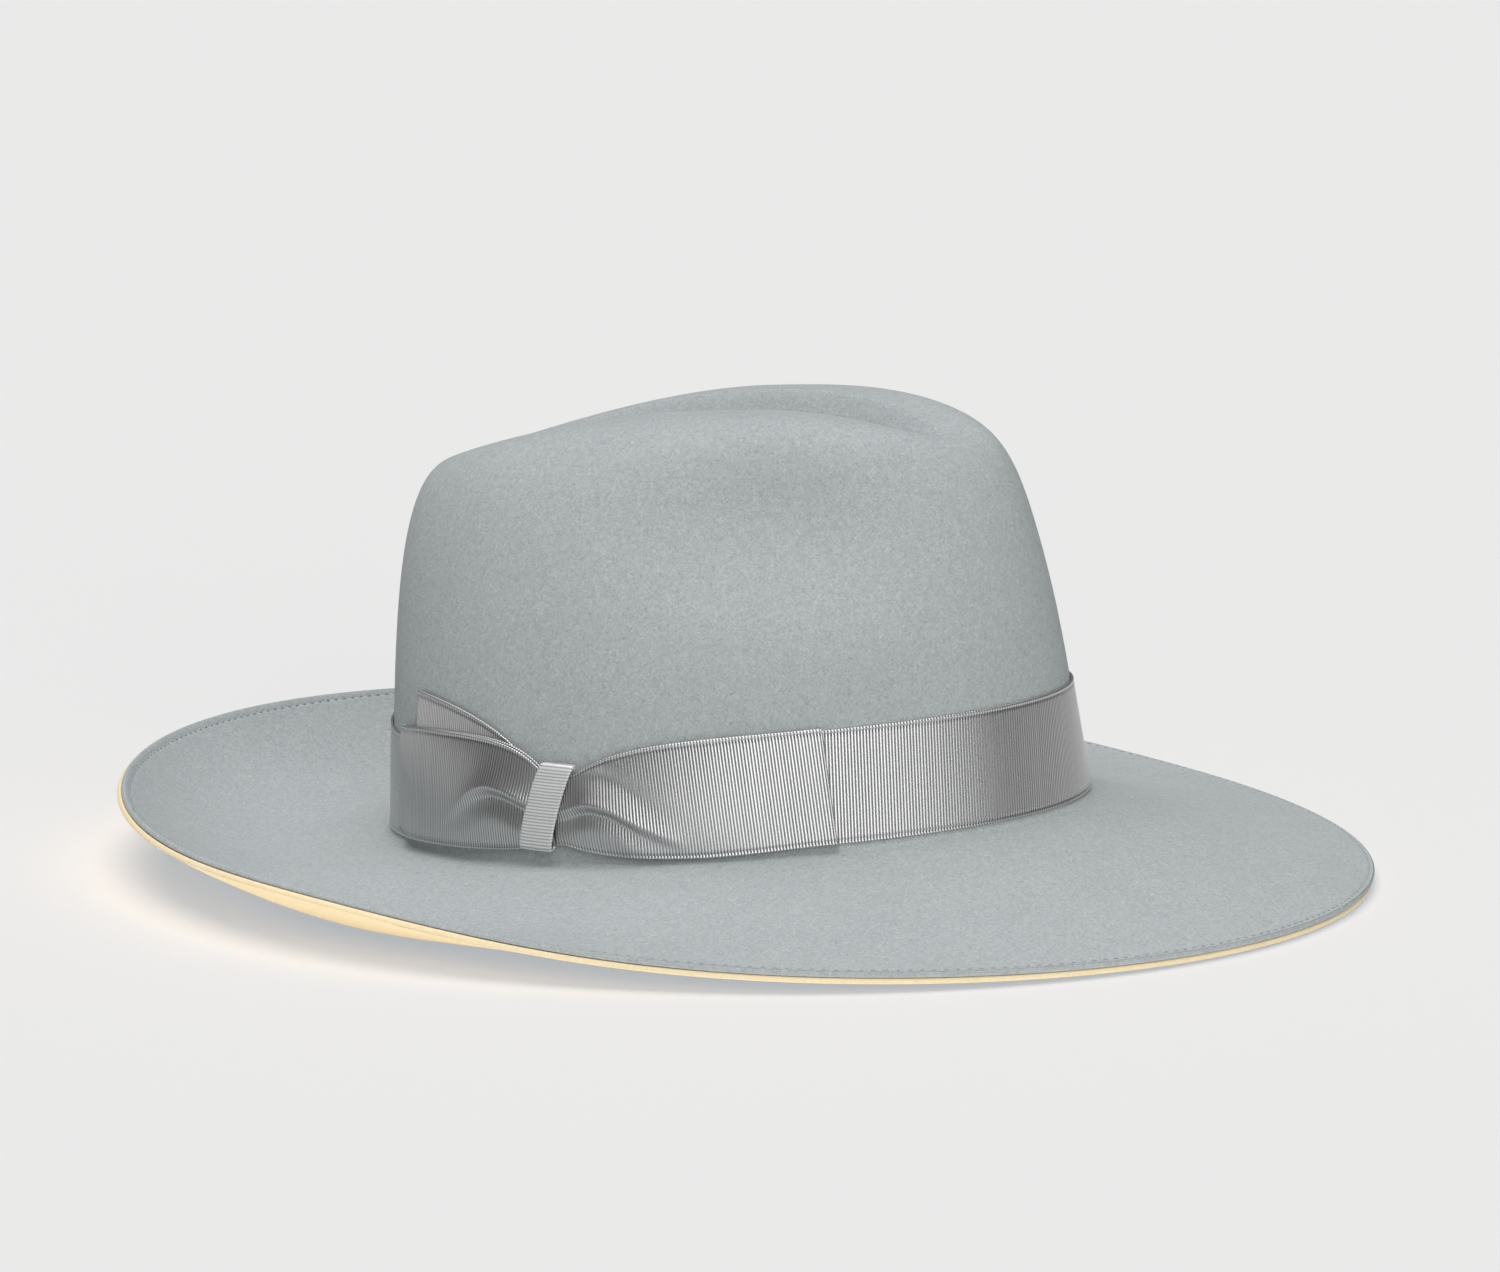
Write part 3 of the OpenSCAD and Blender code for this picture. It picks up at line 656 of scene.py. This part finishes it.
def stitches(name, line, up, count, length, diameter, material):
    """Threads along a closed line of points, with the direction that is up at each point."""
    closed = np.concatenate([line, line[:1]])
    ups = np.concatenate([up, up[:1]])
    run = np.concatenate([[0], np.cumsum(np.linalg.norm(np.diff(closed, axis=0), axis=1))])
    middles = (np.arange(count) + 0.5) / count * run[-1]
    along = np.linspace(-0.5, 0.5, STITCH_STEPS + 1)
    at = middles[:, None] + along * length
    centre = np.stack([np.interp(at, run, closed[:, k]) for k in range(3)], -1)
    high = unit(np.stack([np.interp(at, run, ups[:, k]) for k in range(3)], -1))
    way = unit(np.gradient(centre, axis=1))
    side = unit(np.cross(way, high))
    rise = (np.cos(np.pi * along) - STITCH_SINK)[None, :, None] * diameter * STITCH_ARCH
    thin = mix(STITCH_END, 1, np.cos(np.pi * along * STITCH_TAPER))[None, :, None, None]
    turn = np.linspace(0, 2 * np.pi, STITCH_SIDES, endpoint=False)[:, None]
    ring = np.cos(turn) * side[:, :, None] + np.sin(turn) * high[:, :, None]
    points = (centre + rise * high)[:, :, None] + diameter / 2 * thin * ring
    one = list(grid_faces(STITCH_STEPS + 1, STITCH_SIDES, False, True))
    one.append(np.arange(STITCH_SIDES)[::-1])
    one.append(np.arange(STITCH_SIDES) + STITCH_STEPS * STITCH_SIDES)
    size = (STITCH_STEPS + 1) * STITCH_SIDES
    faces = [face + n * size for n in range(count) for face in one]
    return mesh_object(name, points, faces, material, weld=False)


stitch_row = EDGE_DISTANCES.index(STITCH_INSET)
edge_stitching = stitches(
    "edge_stitching_soft",
    top_grid[stitch_row],
    felt_normals[stitch_row],
    STITCHES,
    STITCH_LENGTH,
    THREAD_DIAMETER,
    THREAD,
)
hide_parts("edge_stitching")
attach(edge_stitching, "root")

# Ribbon: places on the band are distance along from the knot's middle, height, and distance out from the wall
RIBBON_HALF = 0.26
CORD_HALF = 0.4
# Distances across the corded edge, its half thickness there, and distances from it to the ribbon's middle
CORD_ACROSS = [0.0, 0.08, 0.25, 0.5, 0.75, 0.95, 1.15, 1.4]
CORD_PROFILE = np.array([0.0, 0.6, 0.9, 1.0, 0.9, 0.62, 0.5]) * CORD_HALF
PLAIN_ACROSS = [2.2, 3.6, 5.2, 6.8, 8.4, 10.0, 11.6, 13.2, 14.8, RIBBON_WIDTH / 2]
FOLD_ROWS = 30


def both_edges(half):
    """Distances across the ribbon, given from one edge to its middle and mirrored, and its half thickness."""
    profile = np.full(len(half), RIBBON_HALF)
    profile[: len(CORD_PROFILE)] = CORD_PROFILE
    across = np.concatenate([half, RIBBON_WIDTH - half[-2::-1]])
    return across, np.concatenate([profile, profile[-2::-1]])


full_across, full_profile = both_edges(np.array(CORD_ACROSS + PLAIN_ACROSS))
fold_across = np.linspace(CORD_ACROSS[-1], RIBBON_WIDTH / 2, FOLD_ROWS + 1)
fine_across, fine_profile = both_edges(np.concatenate([CORD_ACROSS, fold_across[1:]]))


def on_band(flat):
    return wall_at(-BOW_ANGLE + flat[..., 0] / MM_PER_DEGREE, flat[..., 1], flat[..., 2])


def lengths_along(points):
    steps = np.linalg.norm(np.diff(points, axis=1), axis=-1)
    return np.concatenate([np.zeros((len(points), 1)), np.cumsum(steps, axis=1)], 1)


def ribbon(name, flat, across, profile, start_column=0, material=GROSGRAIN):
    """Ribbon whose rows run along it, at distances across it. profile is its half thickness in each row."""
    facing = normals(flat, False)
    thick = profile[:, None, None] * facing
    outer = on_band(flat + thick)
    inner = on_band(flat - thick)
    along = lengths_along(on_band(flat))
    along = along - along[:, start_column : start_column + 1]
    weave = np.stack([along, np.broadcast_to(across[:, None], along.shape)], -1) * METRES
    section = np.concatenate([outer, inner[::-1]])
    piece = strip_mesh(name, section, material, False, np.concatenate([weave, weave[::-1]]))
    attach(piece, "root")
    return piece, float(np.ptp(along, axis=1).max()) * METRES


def declared(node):
    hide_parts(node)


# Band round the crown, whose ends meet under the front loop. The knot draws it in, and it is narrower where
# it is taut behind the bow.
BAND_FOOT = 2.2
BAND_TOP = 33.2
BAND_OUT = 0.6
BAND_COLUMNS = 420
BAND_END_GAP = 0.3
DRAWN_FOOT = 6.75
DRAWN_TOP = 21.2
TAUT_PLACE = -82.0
TAUT_SPREAD = 26.0
TAUT_FOOT = 0.4
TAUT_TOP = 1.8
BAND_LENGTH = 360 * MM_PER_DEGREE
seam = FRONT_LOOP / 2
along = np.linspace(seam + BAND_END_GAP, seam + BAND_LENGTH - BAND_END_GAP, BAND_COLUMNS)
from_knot = (along + BAND_LENGTH / 2) % BAND_LENGTH - BAND_LENGTH / 2
gather = np.where(from_knot > 0, FRONT_GATHER, REAR_GATHER)
drawn = fading(np.abs(from_knot), KNOT_WIDTH / 2, gather)
taut = bell(from_knot - TAUT_PLACE, TAUT_SPREAD)
band_top = mix(BAND_TOP - TAUT_TOP * taut, DRAWN_TOP, drawn)
band_foot = mix(BAND_FOOT + TAUT_FOOT * taut, DRAWN_FOOT, drawn)
height = mix(band_foot, band_top, full_across[:, None] / RIBBON_WIDTH)
flat = np.stack(np.broadcast_arrays(along[None], height, BAND_OUT), -1)
band, band_length = ribbon("hat_band_soft", flat, full_across, full_profile)
declared("hat_band")

# Loops: out along the back layer, round the fold and back along the front layer
LOOP_START = 0.4
LOOP_STEP = 0.7
FOLD_STEPS = 10
FOLD_SOFTENING = 14
CREASE_WIDTH = 0.5


def loop_path(reach, fold_radius):
    """Distance from the knot and, from 0 at the back layer to 1 at the front one, the way round the fold."""
    run = reach - fold_radius
    steps = int(run / LOOP_STEP)
    out = np.linspace(LOOP_START, run, steps // 2)
    turn = np.pi * (np.arange(FOLD_STEPS - 1) + 1) / FOLD_STEPS
    back = np.linspace(run, LOOP_START, steps)
    distance = np.concatenate([out, run + fold_radius * np.sin(turn), back])
    layer = np.concatenate([np.zeros(len(out)), (1 - np.cos(turn)) / 2, np.ones(len(back))])
    return distance, layer, len(out) + FOLD_STEPS // 2


def softened(values, passes):
    for _ in range(passes):
        ends = np.concatenate([values[:1], values, values[-1:]])
        values = (ends[:-2] + 2 * ends[1:-1] + ends[2:]) / 4
    return values


def fold_line(distance, layer, marks):
    """A line through marks of distance from the knot and value, softened on the front layer."""
    at, value = np.array(marks, float).T
    line = np.interp(distance, at, value)
    return np.where(layer == 1, softened(line, FOLD_SOFTENING), line)


def folded(above, rise, fall):
    """Section of a fold: nothing below the crease, a steep step up from it and a long fall beyond."""
    return smooth(above, -CREASE_WIDTH, rise) * fading(above, rise, fall)


# Front loop, with its crease's height and the lift of its fold as marks of distance from the knot and value
FRONT_FOLD_RADIUS = 0.42
FRONT_SLANT = 2.2
FRONT_TOP = 33.9
FRONT_TOP_DRAWN = 8.9
FRONT_FOOT = 1.2
FRONT_FOOT_DRAWN = 4.6
FRONT_FOOT_RISE = 1.3
FRONT_OUT = 1.3
FRONT_OUT_AT_KNOT = 0.8
FRONT_LAYERS_APART = 0.75
FRONT_SWELL = 1.2
FRONT_SWELL_PLACE = 34.0
FRONT_FLARE = 0.5
FRONT_HOLLOW = 0.28
FRONT_HOLLOW_ABOVE = 9.5
FRONT_BULGE = 0.25
FRONT_BULGE_BELOW = 5.0
FRONT_CREASE = [(0, 12.0), (4, 13.2), (10, 15.2), (17, 13.8), (24.6, 9.1), (30, 6.4), (40, 2.0)]
FRONT_LIFT = [(0, 0.6), (5.75, 1.0), (9, 2.2), (14, 2.7), (20, 2.3), (27, 1.1), (36, 0.0)]
# A loop's swelling fades at its long edges
EDGE_SHARE = 0.02
SWELL_ROUNDNESS = 0.5
share = fine_across[:, None] / RIBBON_WIDTH
rounded = np.sin(np.pi * np.clip(share, EDGE_SHARE, 1 - EDGE_SHARE)) ** SWELL_ROUNDNESS
distance, layer, fold_column = loop_path(FRONT_LOOP, FRONT_FOLD_RADIUS)
top = FRONT_TOP - FRONT_TOP_DRAWN * fading(distance, start=6, reach=15)
foot = FRONT_FOOT + FRONT_FOOT_DRAWN * fading(distance, start=4, reach=12)
foot = foot + FRONT_FOOT_RISE * smooth(distance, start=38, end=FRONT_LOOP)
height = mix(foot, top, share)
back_out = FRONT_OUT + FRONT_OUT_AT_KNOT * bell(distance, spread=14)
puff = FRONT_LAYERS_APART + FRONT_SWELL * bell(distance - FRONT_SWELL_PLACE, spread=26) * rounded
puff = puff + FRONT_FLARE * smooth(distance, start=68, end=FRONT_LOOP)
above = height - fold_line(distance, layer, FRONT_CREASE)
hollow = FRONT_HOLLOW * bell(above - FRONT_HOLLOW_ABOVE, spread=3.0)
bulge = FRONT_BULGE * bell(above + FRONT_BULGE_BELOW, spread=3.5)
fold_over = folded(above, rise=2.4, fall=4.5) - hollow + bulge
out = back_out + layer * (puff + fold_line(distance, layer, FRONT_LIFT) * fold_over)
slanted = distance - FRONT_SLANT * (share - 0.5) * smooth(distance, start=30, end=FRONT_LOOP)
flat = np.stack(np.broadcast_arrays(slanted, height, out), -1)
front_loop, front_length = ribbon("bow_front_loop_soft", flat, fine_across, fine_profile, fold_column)
declared("bow_front_loop")

# Rear loop
REAR_FOLD_RADIUS = 0.5
REAR_TOP = 35.4
REAR_TOP_DRAWN = 9.2
REAR_TOP_DROP = 0.9
REAR_FOOT = 3.8
REAR_FOOT_DRAWN = 1.2
REAR_FOOT_RISE = 1.6
REAR_OUT = 2.0
REAR_OUT_DROP = 0.3
REAR_LAYERS_APART = 0.95
REAR_SWELL = 1.1
REAR_SWELL_PLACE = 30.0
REAR_BULGE = 0.35
REAR_BULGE_BELOW = 7.0
REAR_CREASE = [(0, 13.2), (8, 15.3), (15, 18.4), (21, 19.5), (27.7, 17.2), (36, 11.5), (46, 6.0)]
REAR_LIFT = [(0, 0.6), (5.75, 1.0), (9, 2.2), (15, 2.6), (22, 2.2), (30, 0.9), (40, 0.0)]
distance, layer, fold_column = loop_path(REAR_LOOP, REAR_FOLD_RADIUS)
top = REAR_TOP - REAR_TOP_DRAWN * fading(distance, start=4, reach=9.5)
top = top - REAR_TOP_DROP * smooth(distance, start=48, end=REAR_LOOP)
foot = REAR_FOOT + REAR_FOOT_DRAWN * fading(distance, start=8, reach=8)
foot = foot + REAR_FOOT_RISE * smooth(distance, start=64, end=REAR_LOOP) ** 2
height = mix(foot, top, share)
back_out = REAR_OUT - REAR_OUT_DROP * smooth(distance, start=58, end=66)
puff = REAR_LAYERS_APART + REAR_SWELL * bell(distance - REAR_SWELL_PLACE, spread=24) * rounded
above = height - fold_line(distance, layer, REAR_CREASE)
bulge = REAR_BULGE * bell(above + REAR_BULGE_BELOW, spread=4.5)
fold_over = folded(above, rise=2.6, fall=5.5) + bulge
out = back_out + layer * (puff + fold_line(distance, layer, REAR_LIFT) * fold_over)
flat = np.stack(np.broadcast_arrays(-distance[None], height, out), -1)
rear_loop, rear_length = ribbon("bow_rear_loop_soft", flat, fine_across, fine_profile, fold_column)
declared("bow_rear_loop")

# Tail under the rear loop, cut square to its own direction
TAIL_STEPS = 90
TAIL_ROOT = 25.7
TAIL_CLIMB = 21.0
TAIL_DRAWN = 0.62
TAIL_HELD = 5.0
TAIL_OUT = 1.25
TAIL_SOFTENING = 20
share = full_across[:, None] / RIBBON_WIDTH
along = np.linspace(LOOP_START, TAIL_LENGTH, TAIL_STEPS)
top = TAIL_ROOT + TAIL_CLIMB * (1 - fading(along, start=6.5, reach=22))
slope = softened(np.arctan(np.gradient(top, along)), TAIL_SOFTENING)
width = RIBBON_WIDTH * mix(1, TAIL_DRAWN, bell(np.maximum(0, along - TAIL_HELD), spread=24))
down = share[::-1] * width
from_knot = along + down * np.sin(slope) * smooth(along, start=10, end=50)
flat = np.stack(np.broadcast_arrays(-from_knot, top - down * np.cos(slope), TAIL_OUT), -1)
tail, tail_length = ribbon("bow_tail_soft", flat, full_across, full_profile)
declared("bow_tail")

# Knot: a short length of ribbon, its edges folded under, wrapped over the bow
KNOT_WRAP = 122
KNOT_STEPS = 90
KNOT_ROUNDNESS = 0.55
KNOT_BACK = 1.9
KNOT_FRONT = 4.6
KNOT_HALF = 0.5
KNOT_ACROSS = np.array([0.0, 0.1, 0.35, 0.8, 1.6, 2.7, 3.9, KNOT_WIDTH / 2])
KNOT_PROFILE = np.array([0.0, 0.55, 0.85, 1.0, 1.05, 1.1, 1.12, 1.13]) * KNOT_HALF
KNOT_EDGE = (RIBBON_WIDTH - KNOT_WIDTH) / 2


def squared(x):
    return np.sign(x) * np.abs(x) ** KNOT_ROUNDNESS


knot_across = np.concatenate([KNOT_ACROSS, KNOT_WIDTH - KNOT_ACROSS[-2::-1]])
knot_profile = np.concatenate([KNOT_PROFILE, KNOT_PROFILE[-2::-1]])
turn = np.linspace(-KNOT_WRAP, KNOT_WRAP, KNOT_STEPS)
level = squared(sine(turn))
knot_side = KNOT_WIDTH / 2 - knot_across[:, None]
knot_height = KNOT_FOOT + KNOT_HEIGHT * (1 + level) / 2 - KNOT_TILT * knot_side
knot_middle = KNOT_SHIFT + KNOT_LEAN * level / 2 - KNOT_BOW * (1 - level**2)
knot_out = KNOT_BACK + (KNOT_FRONT - KNOT_BACK) * (1 + squared(cosine(turn))) / 2
flat = np.stack(np.broadcast_arrays(knot_side + knot_middle, knot_height, knot_out), -1)
on_ribbon = knot_across + KNOT_EDGE
knot, knot_length = ribbon("bow_knot_soft", flat, on_ribbon, knot_profile, material=KNOT_GROSGRAIN_PAINTED_LIGHTER)
declared("bow_knot")

# Sweatband: leather inside the crown, sewn to a covered reed at its lower edge
LINING_IN = FELT_THICKNESS + LINING_GAP
SWEATBAND_IN = LINING_IN + LINING_THICKNESS + LAY_GAP
SWEATBAND_FOOT = REED_DIAMETER + LAY_GAP - FELT_THICKNESS - UNDERBRIM_THICKNESS
SWEATBAND_TOP = SWEATBAND_FOOT + SWEATBAND_WIDTH
LEATHER_EDGE = 0.35
LEATHER_EDGE_RISES = np.array([0.0, 0.12, 0.4, 0.9])
LEATHER_EDGE_WIDTH = 2.0
LEATHER_STEPS = 12
SEAM_GAP = 0.25
INNER_COLUMNS = 260
inner_round = np.linspace(180 + SEAM_GAP, 540 - SEAM_GAP, INNER_COLUMNS)


def inner_strip(heights, inward):
    level = np.broadcast_to(np.asarray(heights, float)[:, None], (len(heights), INNER_COLUMNS))
    p = wall_at(inner_round, np.maximum(level, 0), -inward)
    return point(p[..., :2], level)


def sheet_section(grid, outer, inner, edge):
    """Rows once round a sheet between two distances in from a grid, thinned to a share at its long edges."""
    facing = normals(grid, False)
    depth = np.full(len(grid), (inner - outer) / 2)
    depth[[0, -1]] *= edge
    middle = grid - (inner + outer) / 2 * facing
    half = depth[:, None, None] * facing
    return np.concatenate([middle + half, (middle - half)[::-1]])


def inside_piece(name, node, section, material):
    piece = strip_mesh(name, section, material, False)
    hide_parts(node)
    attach(piece, "root")
    return piece


plain_rises = np.linspace(LEATHER_EDGE_WIDTH, SWEATBAND_WIDTH - LEATHER_EDGE_WIDTH, LEATHER_STEPS)
rises = np.concatenate([LEATHER_EDGE_RISES, plain_rises, (SWEATBAND_WIDTH - LEATHER_EDGE_RISES)[::-1]])
grid = inner_strip(SWEATBAND_FOOT + rises, SWEATBAND_IN)
section = sheet_section(grid, 0.0, LEATHER_THICKNESS, LEATHER_EDGE)
sweatband = inside_piece("sweatband_soft", "sweatband", section, LEATHER)

# Covered reed
REED_SIDES = 14
REED_IN = FELT_THICKNESS + LAY_GAP + REED_DIAMETER / 2
REED_LEVEL = SWEATBAND_FOOT - LAY_GAP - REED_DIAMETER / 2
turn = np.linspace(0, 360, REED_SIDES, endpoint=False)[:, None]
reed_in = REED_IN - REED_DIAMETER / 2 * cosine(turn)
plan = np.stack([opening(inner_round, inward) for inward in reed_in[:, 0]])
level = np.broadcast_to(REED_LEVEL + REED_DIAMETER / 2 * sine(turn), plan.shape[:2])
inside_piece("sweatband_reed_soft", "sweatband_reed", point(plan, level), LEATHER)

# Lining: its side hangs behind the sweatband, and its tip follows the dent
PUCKERS = 46
PUCKER_DEPTH = 0.7
PUCKER_DRIFT = 40
PUCKER_WAVES = 3
PUCKER_START = SWEATBAND_TOP + 2
PUCKER_END = SWEATBAND_TOP + 14
LINING_EDGE = 0.6
SIDE_STEPS = 40
TIP_GAP = 0.01
TIP_PUCKERED = 0.25


def puckers(a):
    """Depth of the gathers round the lining's seam, which are a little uneven."""
    return PUCKER_DEPTH * (1 + sine(PUCKERS * a + PUCKER_DRIFT * sine(PUCKER_WAVES * a))) / 2


lining_foot = (SWEATBAND_FOOT + SWEATBAND_WIDTH / 2) / crown_height(inner_round)
rise = np.linspace(0, 1, SIDE_STEPS)[:, None]
grid = wall_point(inner_round, mix(lining_foot, LINING_SEAM, rise))
pucker = puckers(inner_round) * smooth(grid[..., 2], PUCKER_START, PUCKER_END)
puckered = grid - pucker[..., None] * normals(grid, False)
section = sheet_section(puckered, LINING_IN, LINING_IN + LINING_THICKNESS, LINING_EDGE)
lining_side = inside_piece("lining_side_soft", "lining_side", section, SATIN)

# The tip starts just above the seam
above_seam = [climb(j + 1.0) > LINING_SEAM + TIP_GAP for j in range(WALL_STEPS)]
seam_row = brim_count + BEND_STEPS + above_seam.index(True)
tip_grid = felt_grid[seam_row:]
tip_normals = felt_normals[seam_row:]
from_seam = np.linspace(0, 1, len(tip_grid))[:, None]
pucker = puckers(ROUND) * (1 - smooth(from_seam, 0.0, TIP_PUCKERED))
tip_outer = tip_grid - (LINING_IN + pucker)[..., None] * tip_normals
tip_inner = tip_outer - LINING_THICKNESS * tip_normals
section = np.concatenate([tip_outer[::-1], tip_inner])
tip_faces = list(grid_faces(len(section), FELT_COLUMNS, False, True))
lining_tip = mesh_object("lining_tip_soft", section, tip_faces, SATIN)
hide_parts("lining_tip")
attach(lining_tip, "root")

# Small bow on the sweatband's back seam
TIE_IN = SWEATBAND_IN + LEATHER_THICKNESS + LAY_GAP
TIE_LEVEL = SWEATBAND_FOOT + SWEATBAND_WIDTH / 2
TIE_THICKNESS = 0.6
TIE_EDGE = 0.9
TIE_GATHER = 0.5
TIE_SWELL = 0.9
TIE_KNOT = TIE_WIDTH / 2
TIE_KNOT_WIDTH = 0.7 * TIE_WIDTH
TIE_KNOT_SWELL = 0.2
TIE_KNOT_THICKNESS = 1.5 * TIE_THICKNESS
TIE_STEPS = 24
TIE_ROWS = 9
DEGREES_PER_MM = 360 / (math.pi * HEAD_WIDTH)


def tie_part(along, width, lift, thickness):
    """One part of the small bow, from its places along the sweatband, widths and rise off the leather."""
    across = np.linspace(-0.5, 0.5, TIE_ROWS)[:, None]
    level = TIE_LEVEL + across * width
    inward = TIE_IN + thickness / 2 + lift * np.cos(np.pi * across)
    half = thickness / 2 * np.cos(np.pi * across * TIE_EDGE)
    angle = np.broadcast_to(180 + along * DEGREES_PER_MM, level.shape)
    outer = wall_at(angle, level, half - inward)
    inner = wall_at(angle, level, -half - inward)
    return np.concatenate([outer, inner[::-1]])


share = np.linspace(0, 1, TIE_STEPS)
reach = np.linspace(TIE_KNOT / 2 + LAY_GAP, TIE_SPAN / 2, TIE_STEPS)
spread = TIE_WIDTH * mix(TIE_GATHER, 1.0, np.sqrt(share))
swell = TIE_SWELL * np.sin(np.pi * share)
knot_along = np.linspace(-TIE_KNOT / 2, TIE_KNOT / 2, TIE_STEPS)
knot_width = np.full(TIE_STEPS, TIE_KNOT_WIDTH)
sections = [
    tie_part(reach, spread, swell, TIE_THICKNESS),
    tie_part(-reach, spread, swell, TIE_THICKNESS),
    tie_part(knot_along, knot_width, TIE_KNOT_SWELL, TIE_KNOT_THICKNESS),
]
part_rows = 2 * TIE_ROWS
part_faces = strip_faces(part_rows, TIE_STEPS, False)
faces = [face + k * part_rows * TIE_STEPS for k in range(len(sections)) for face in part_faces]
tie = mesh_object("sweatband_tie_soft", np.concatenate(sections), faces, SATIN)
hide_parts("sweatband_tie")
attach(tie, "root")

# Floor
FLOOR_HALF = 12.0
FLOOR_DROP = 0.0003
FLOOR_CORNERS = [(-1, -1), (1, -1), (1, 1), (-1, 1)]
stage_mesh = bpy.data.meshes.new("floor")
stage_mesh.from_pydata([(x * FLOOR_HALF, y * FLOOR_HALF, 0) for x, y in FLOOR_CORNERS], [], [(0, 1, 2, 3)])
floor = bpy.data.objects.new("floor", stage_mesh)
bpy.context.scene.collection.objects.link(floor)
floor.location.z = -FLOOR_DROP
# The paper glows a little for the camera, so that its shadow stays pale and grey beside the yellow felt. It
# lets the lamp below shine through.
PAPER = np.array(colour(232, 232, 232))
PAPER_SHADE = np.array([0.83, 0.65, 0.49, 1.0])
paper = Shader("floor_paper")
path = paper.add("ShaderNodeLightPath", {})
seen = paper.math("MAXIMUM", path.outputs["Is Camera Ray"], path.outputs["Is Glossy Ray"])
stage_mesh.materials.append(
    paper.finish(
        Base_Color=paper.blend(seen, tuple(PAPER), tuple(PAPER * PAPER_SHADE)),
        Roughness=1.0,
        Specular_IOR_Level=0.0,
        Emission_Color=tuple(PAPER * (1 - PAPER_SHADE)),
        Emission_Strength=seen,
    )
)
floor.visible_shadow = False

# Light
WORLD_STRENGTH = 0.06
world = bpy.data.worlds.new("studio")
world.use_nodes = True
bpy.context.scene.world = world
background = world.node_tree.nodes["Background"]
background.inputs["Color"].default_value = (1.0, 1.0, 1.0, 1.0)
background.inputs["Strength"].default_value = WORLD_STRENGTH


def heading(azimuth, elevation):
    """Direction away from the hat, at an azimuth round it from the front and an elevation above the table."""
    a = math.radians(azimuth)
    e = math.radians(elevation)
    return Vector((math.sin(a) * math.cos(e), -math.cos(a) * math.cos(e), math.sin(e)))


def lamp(name, azimuth, elevation, strength, softness):
    data = bpy.data.lights.new(name, "SUN")
    data.energy = strength
    data.angle = math.radians(softness)
    made = bpy.data.objects.new(name, data)
    made.rotation_mode = "QUATERNION"
    made.rotation_quaternion = heading(azimuth, elevation).to_track_quat("Z", "Y")
    bpy.context.scene.collection.objects.link(made)


lamp("overhead", azimuth=165, elevation=80, strength=2.42, softness=60)
lamp("front", azimuth=-53, elevation=15, strength=1.08, softness=46)
lamp("high", azimuth=-64, elevation=48, strength=0.5, softness=40)
lamp("below", azimuth=-64, elevation=-65, strength=1.0, softness=60)

# Camera at the photo's viewing angle, aimed from the middle of the head opening
CAMERA_AZIMUTH = -64.37
CAMERA_ELEVATION = 11.83
CAMERA_DISTANCE = 1.7
PIXELS_PER_MM = 3.521
IMAGE_WIDTH = 1500
AIM_RIGHT = 0.00249
AIM_UP = 0.04883
SENSOR = 36.0
back = heading(CAMERA_AZIMUTH, CAMERA_ELEVATION)
right = heading(CAMERA_AZIMUTH + 90, 0)
up = back.cross(right)
origin = Vector(REST["move"])
aim = origin + AIM_RIGHT * right + AIM_UP * up
data = bpy.data.cameras.new("camera")
data.sensor_width = SENSOR
data.lens = PIXELS_PER_MM * CAMERA_DISTANCE / METRES / IMAGE_WIDTH * SENSOR
camera = bpy.data.objects.new("camera", data)
bpy.context.scene.collection.objects.link(camera)
camera.location = origin + CAMERA_DISTANCE * back
camera.rotation_mode = "QUATERNION"
camera.rotation_quaternion = (aim - camera.location).to_track_quat("-Z", "Y")
bpy.context.scene.camera = camera
bpy.context.scene.view_settings.view_transform = "Standard"
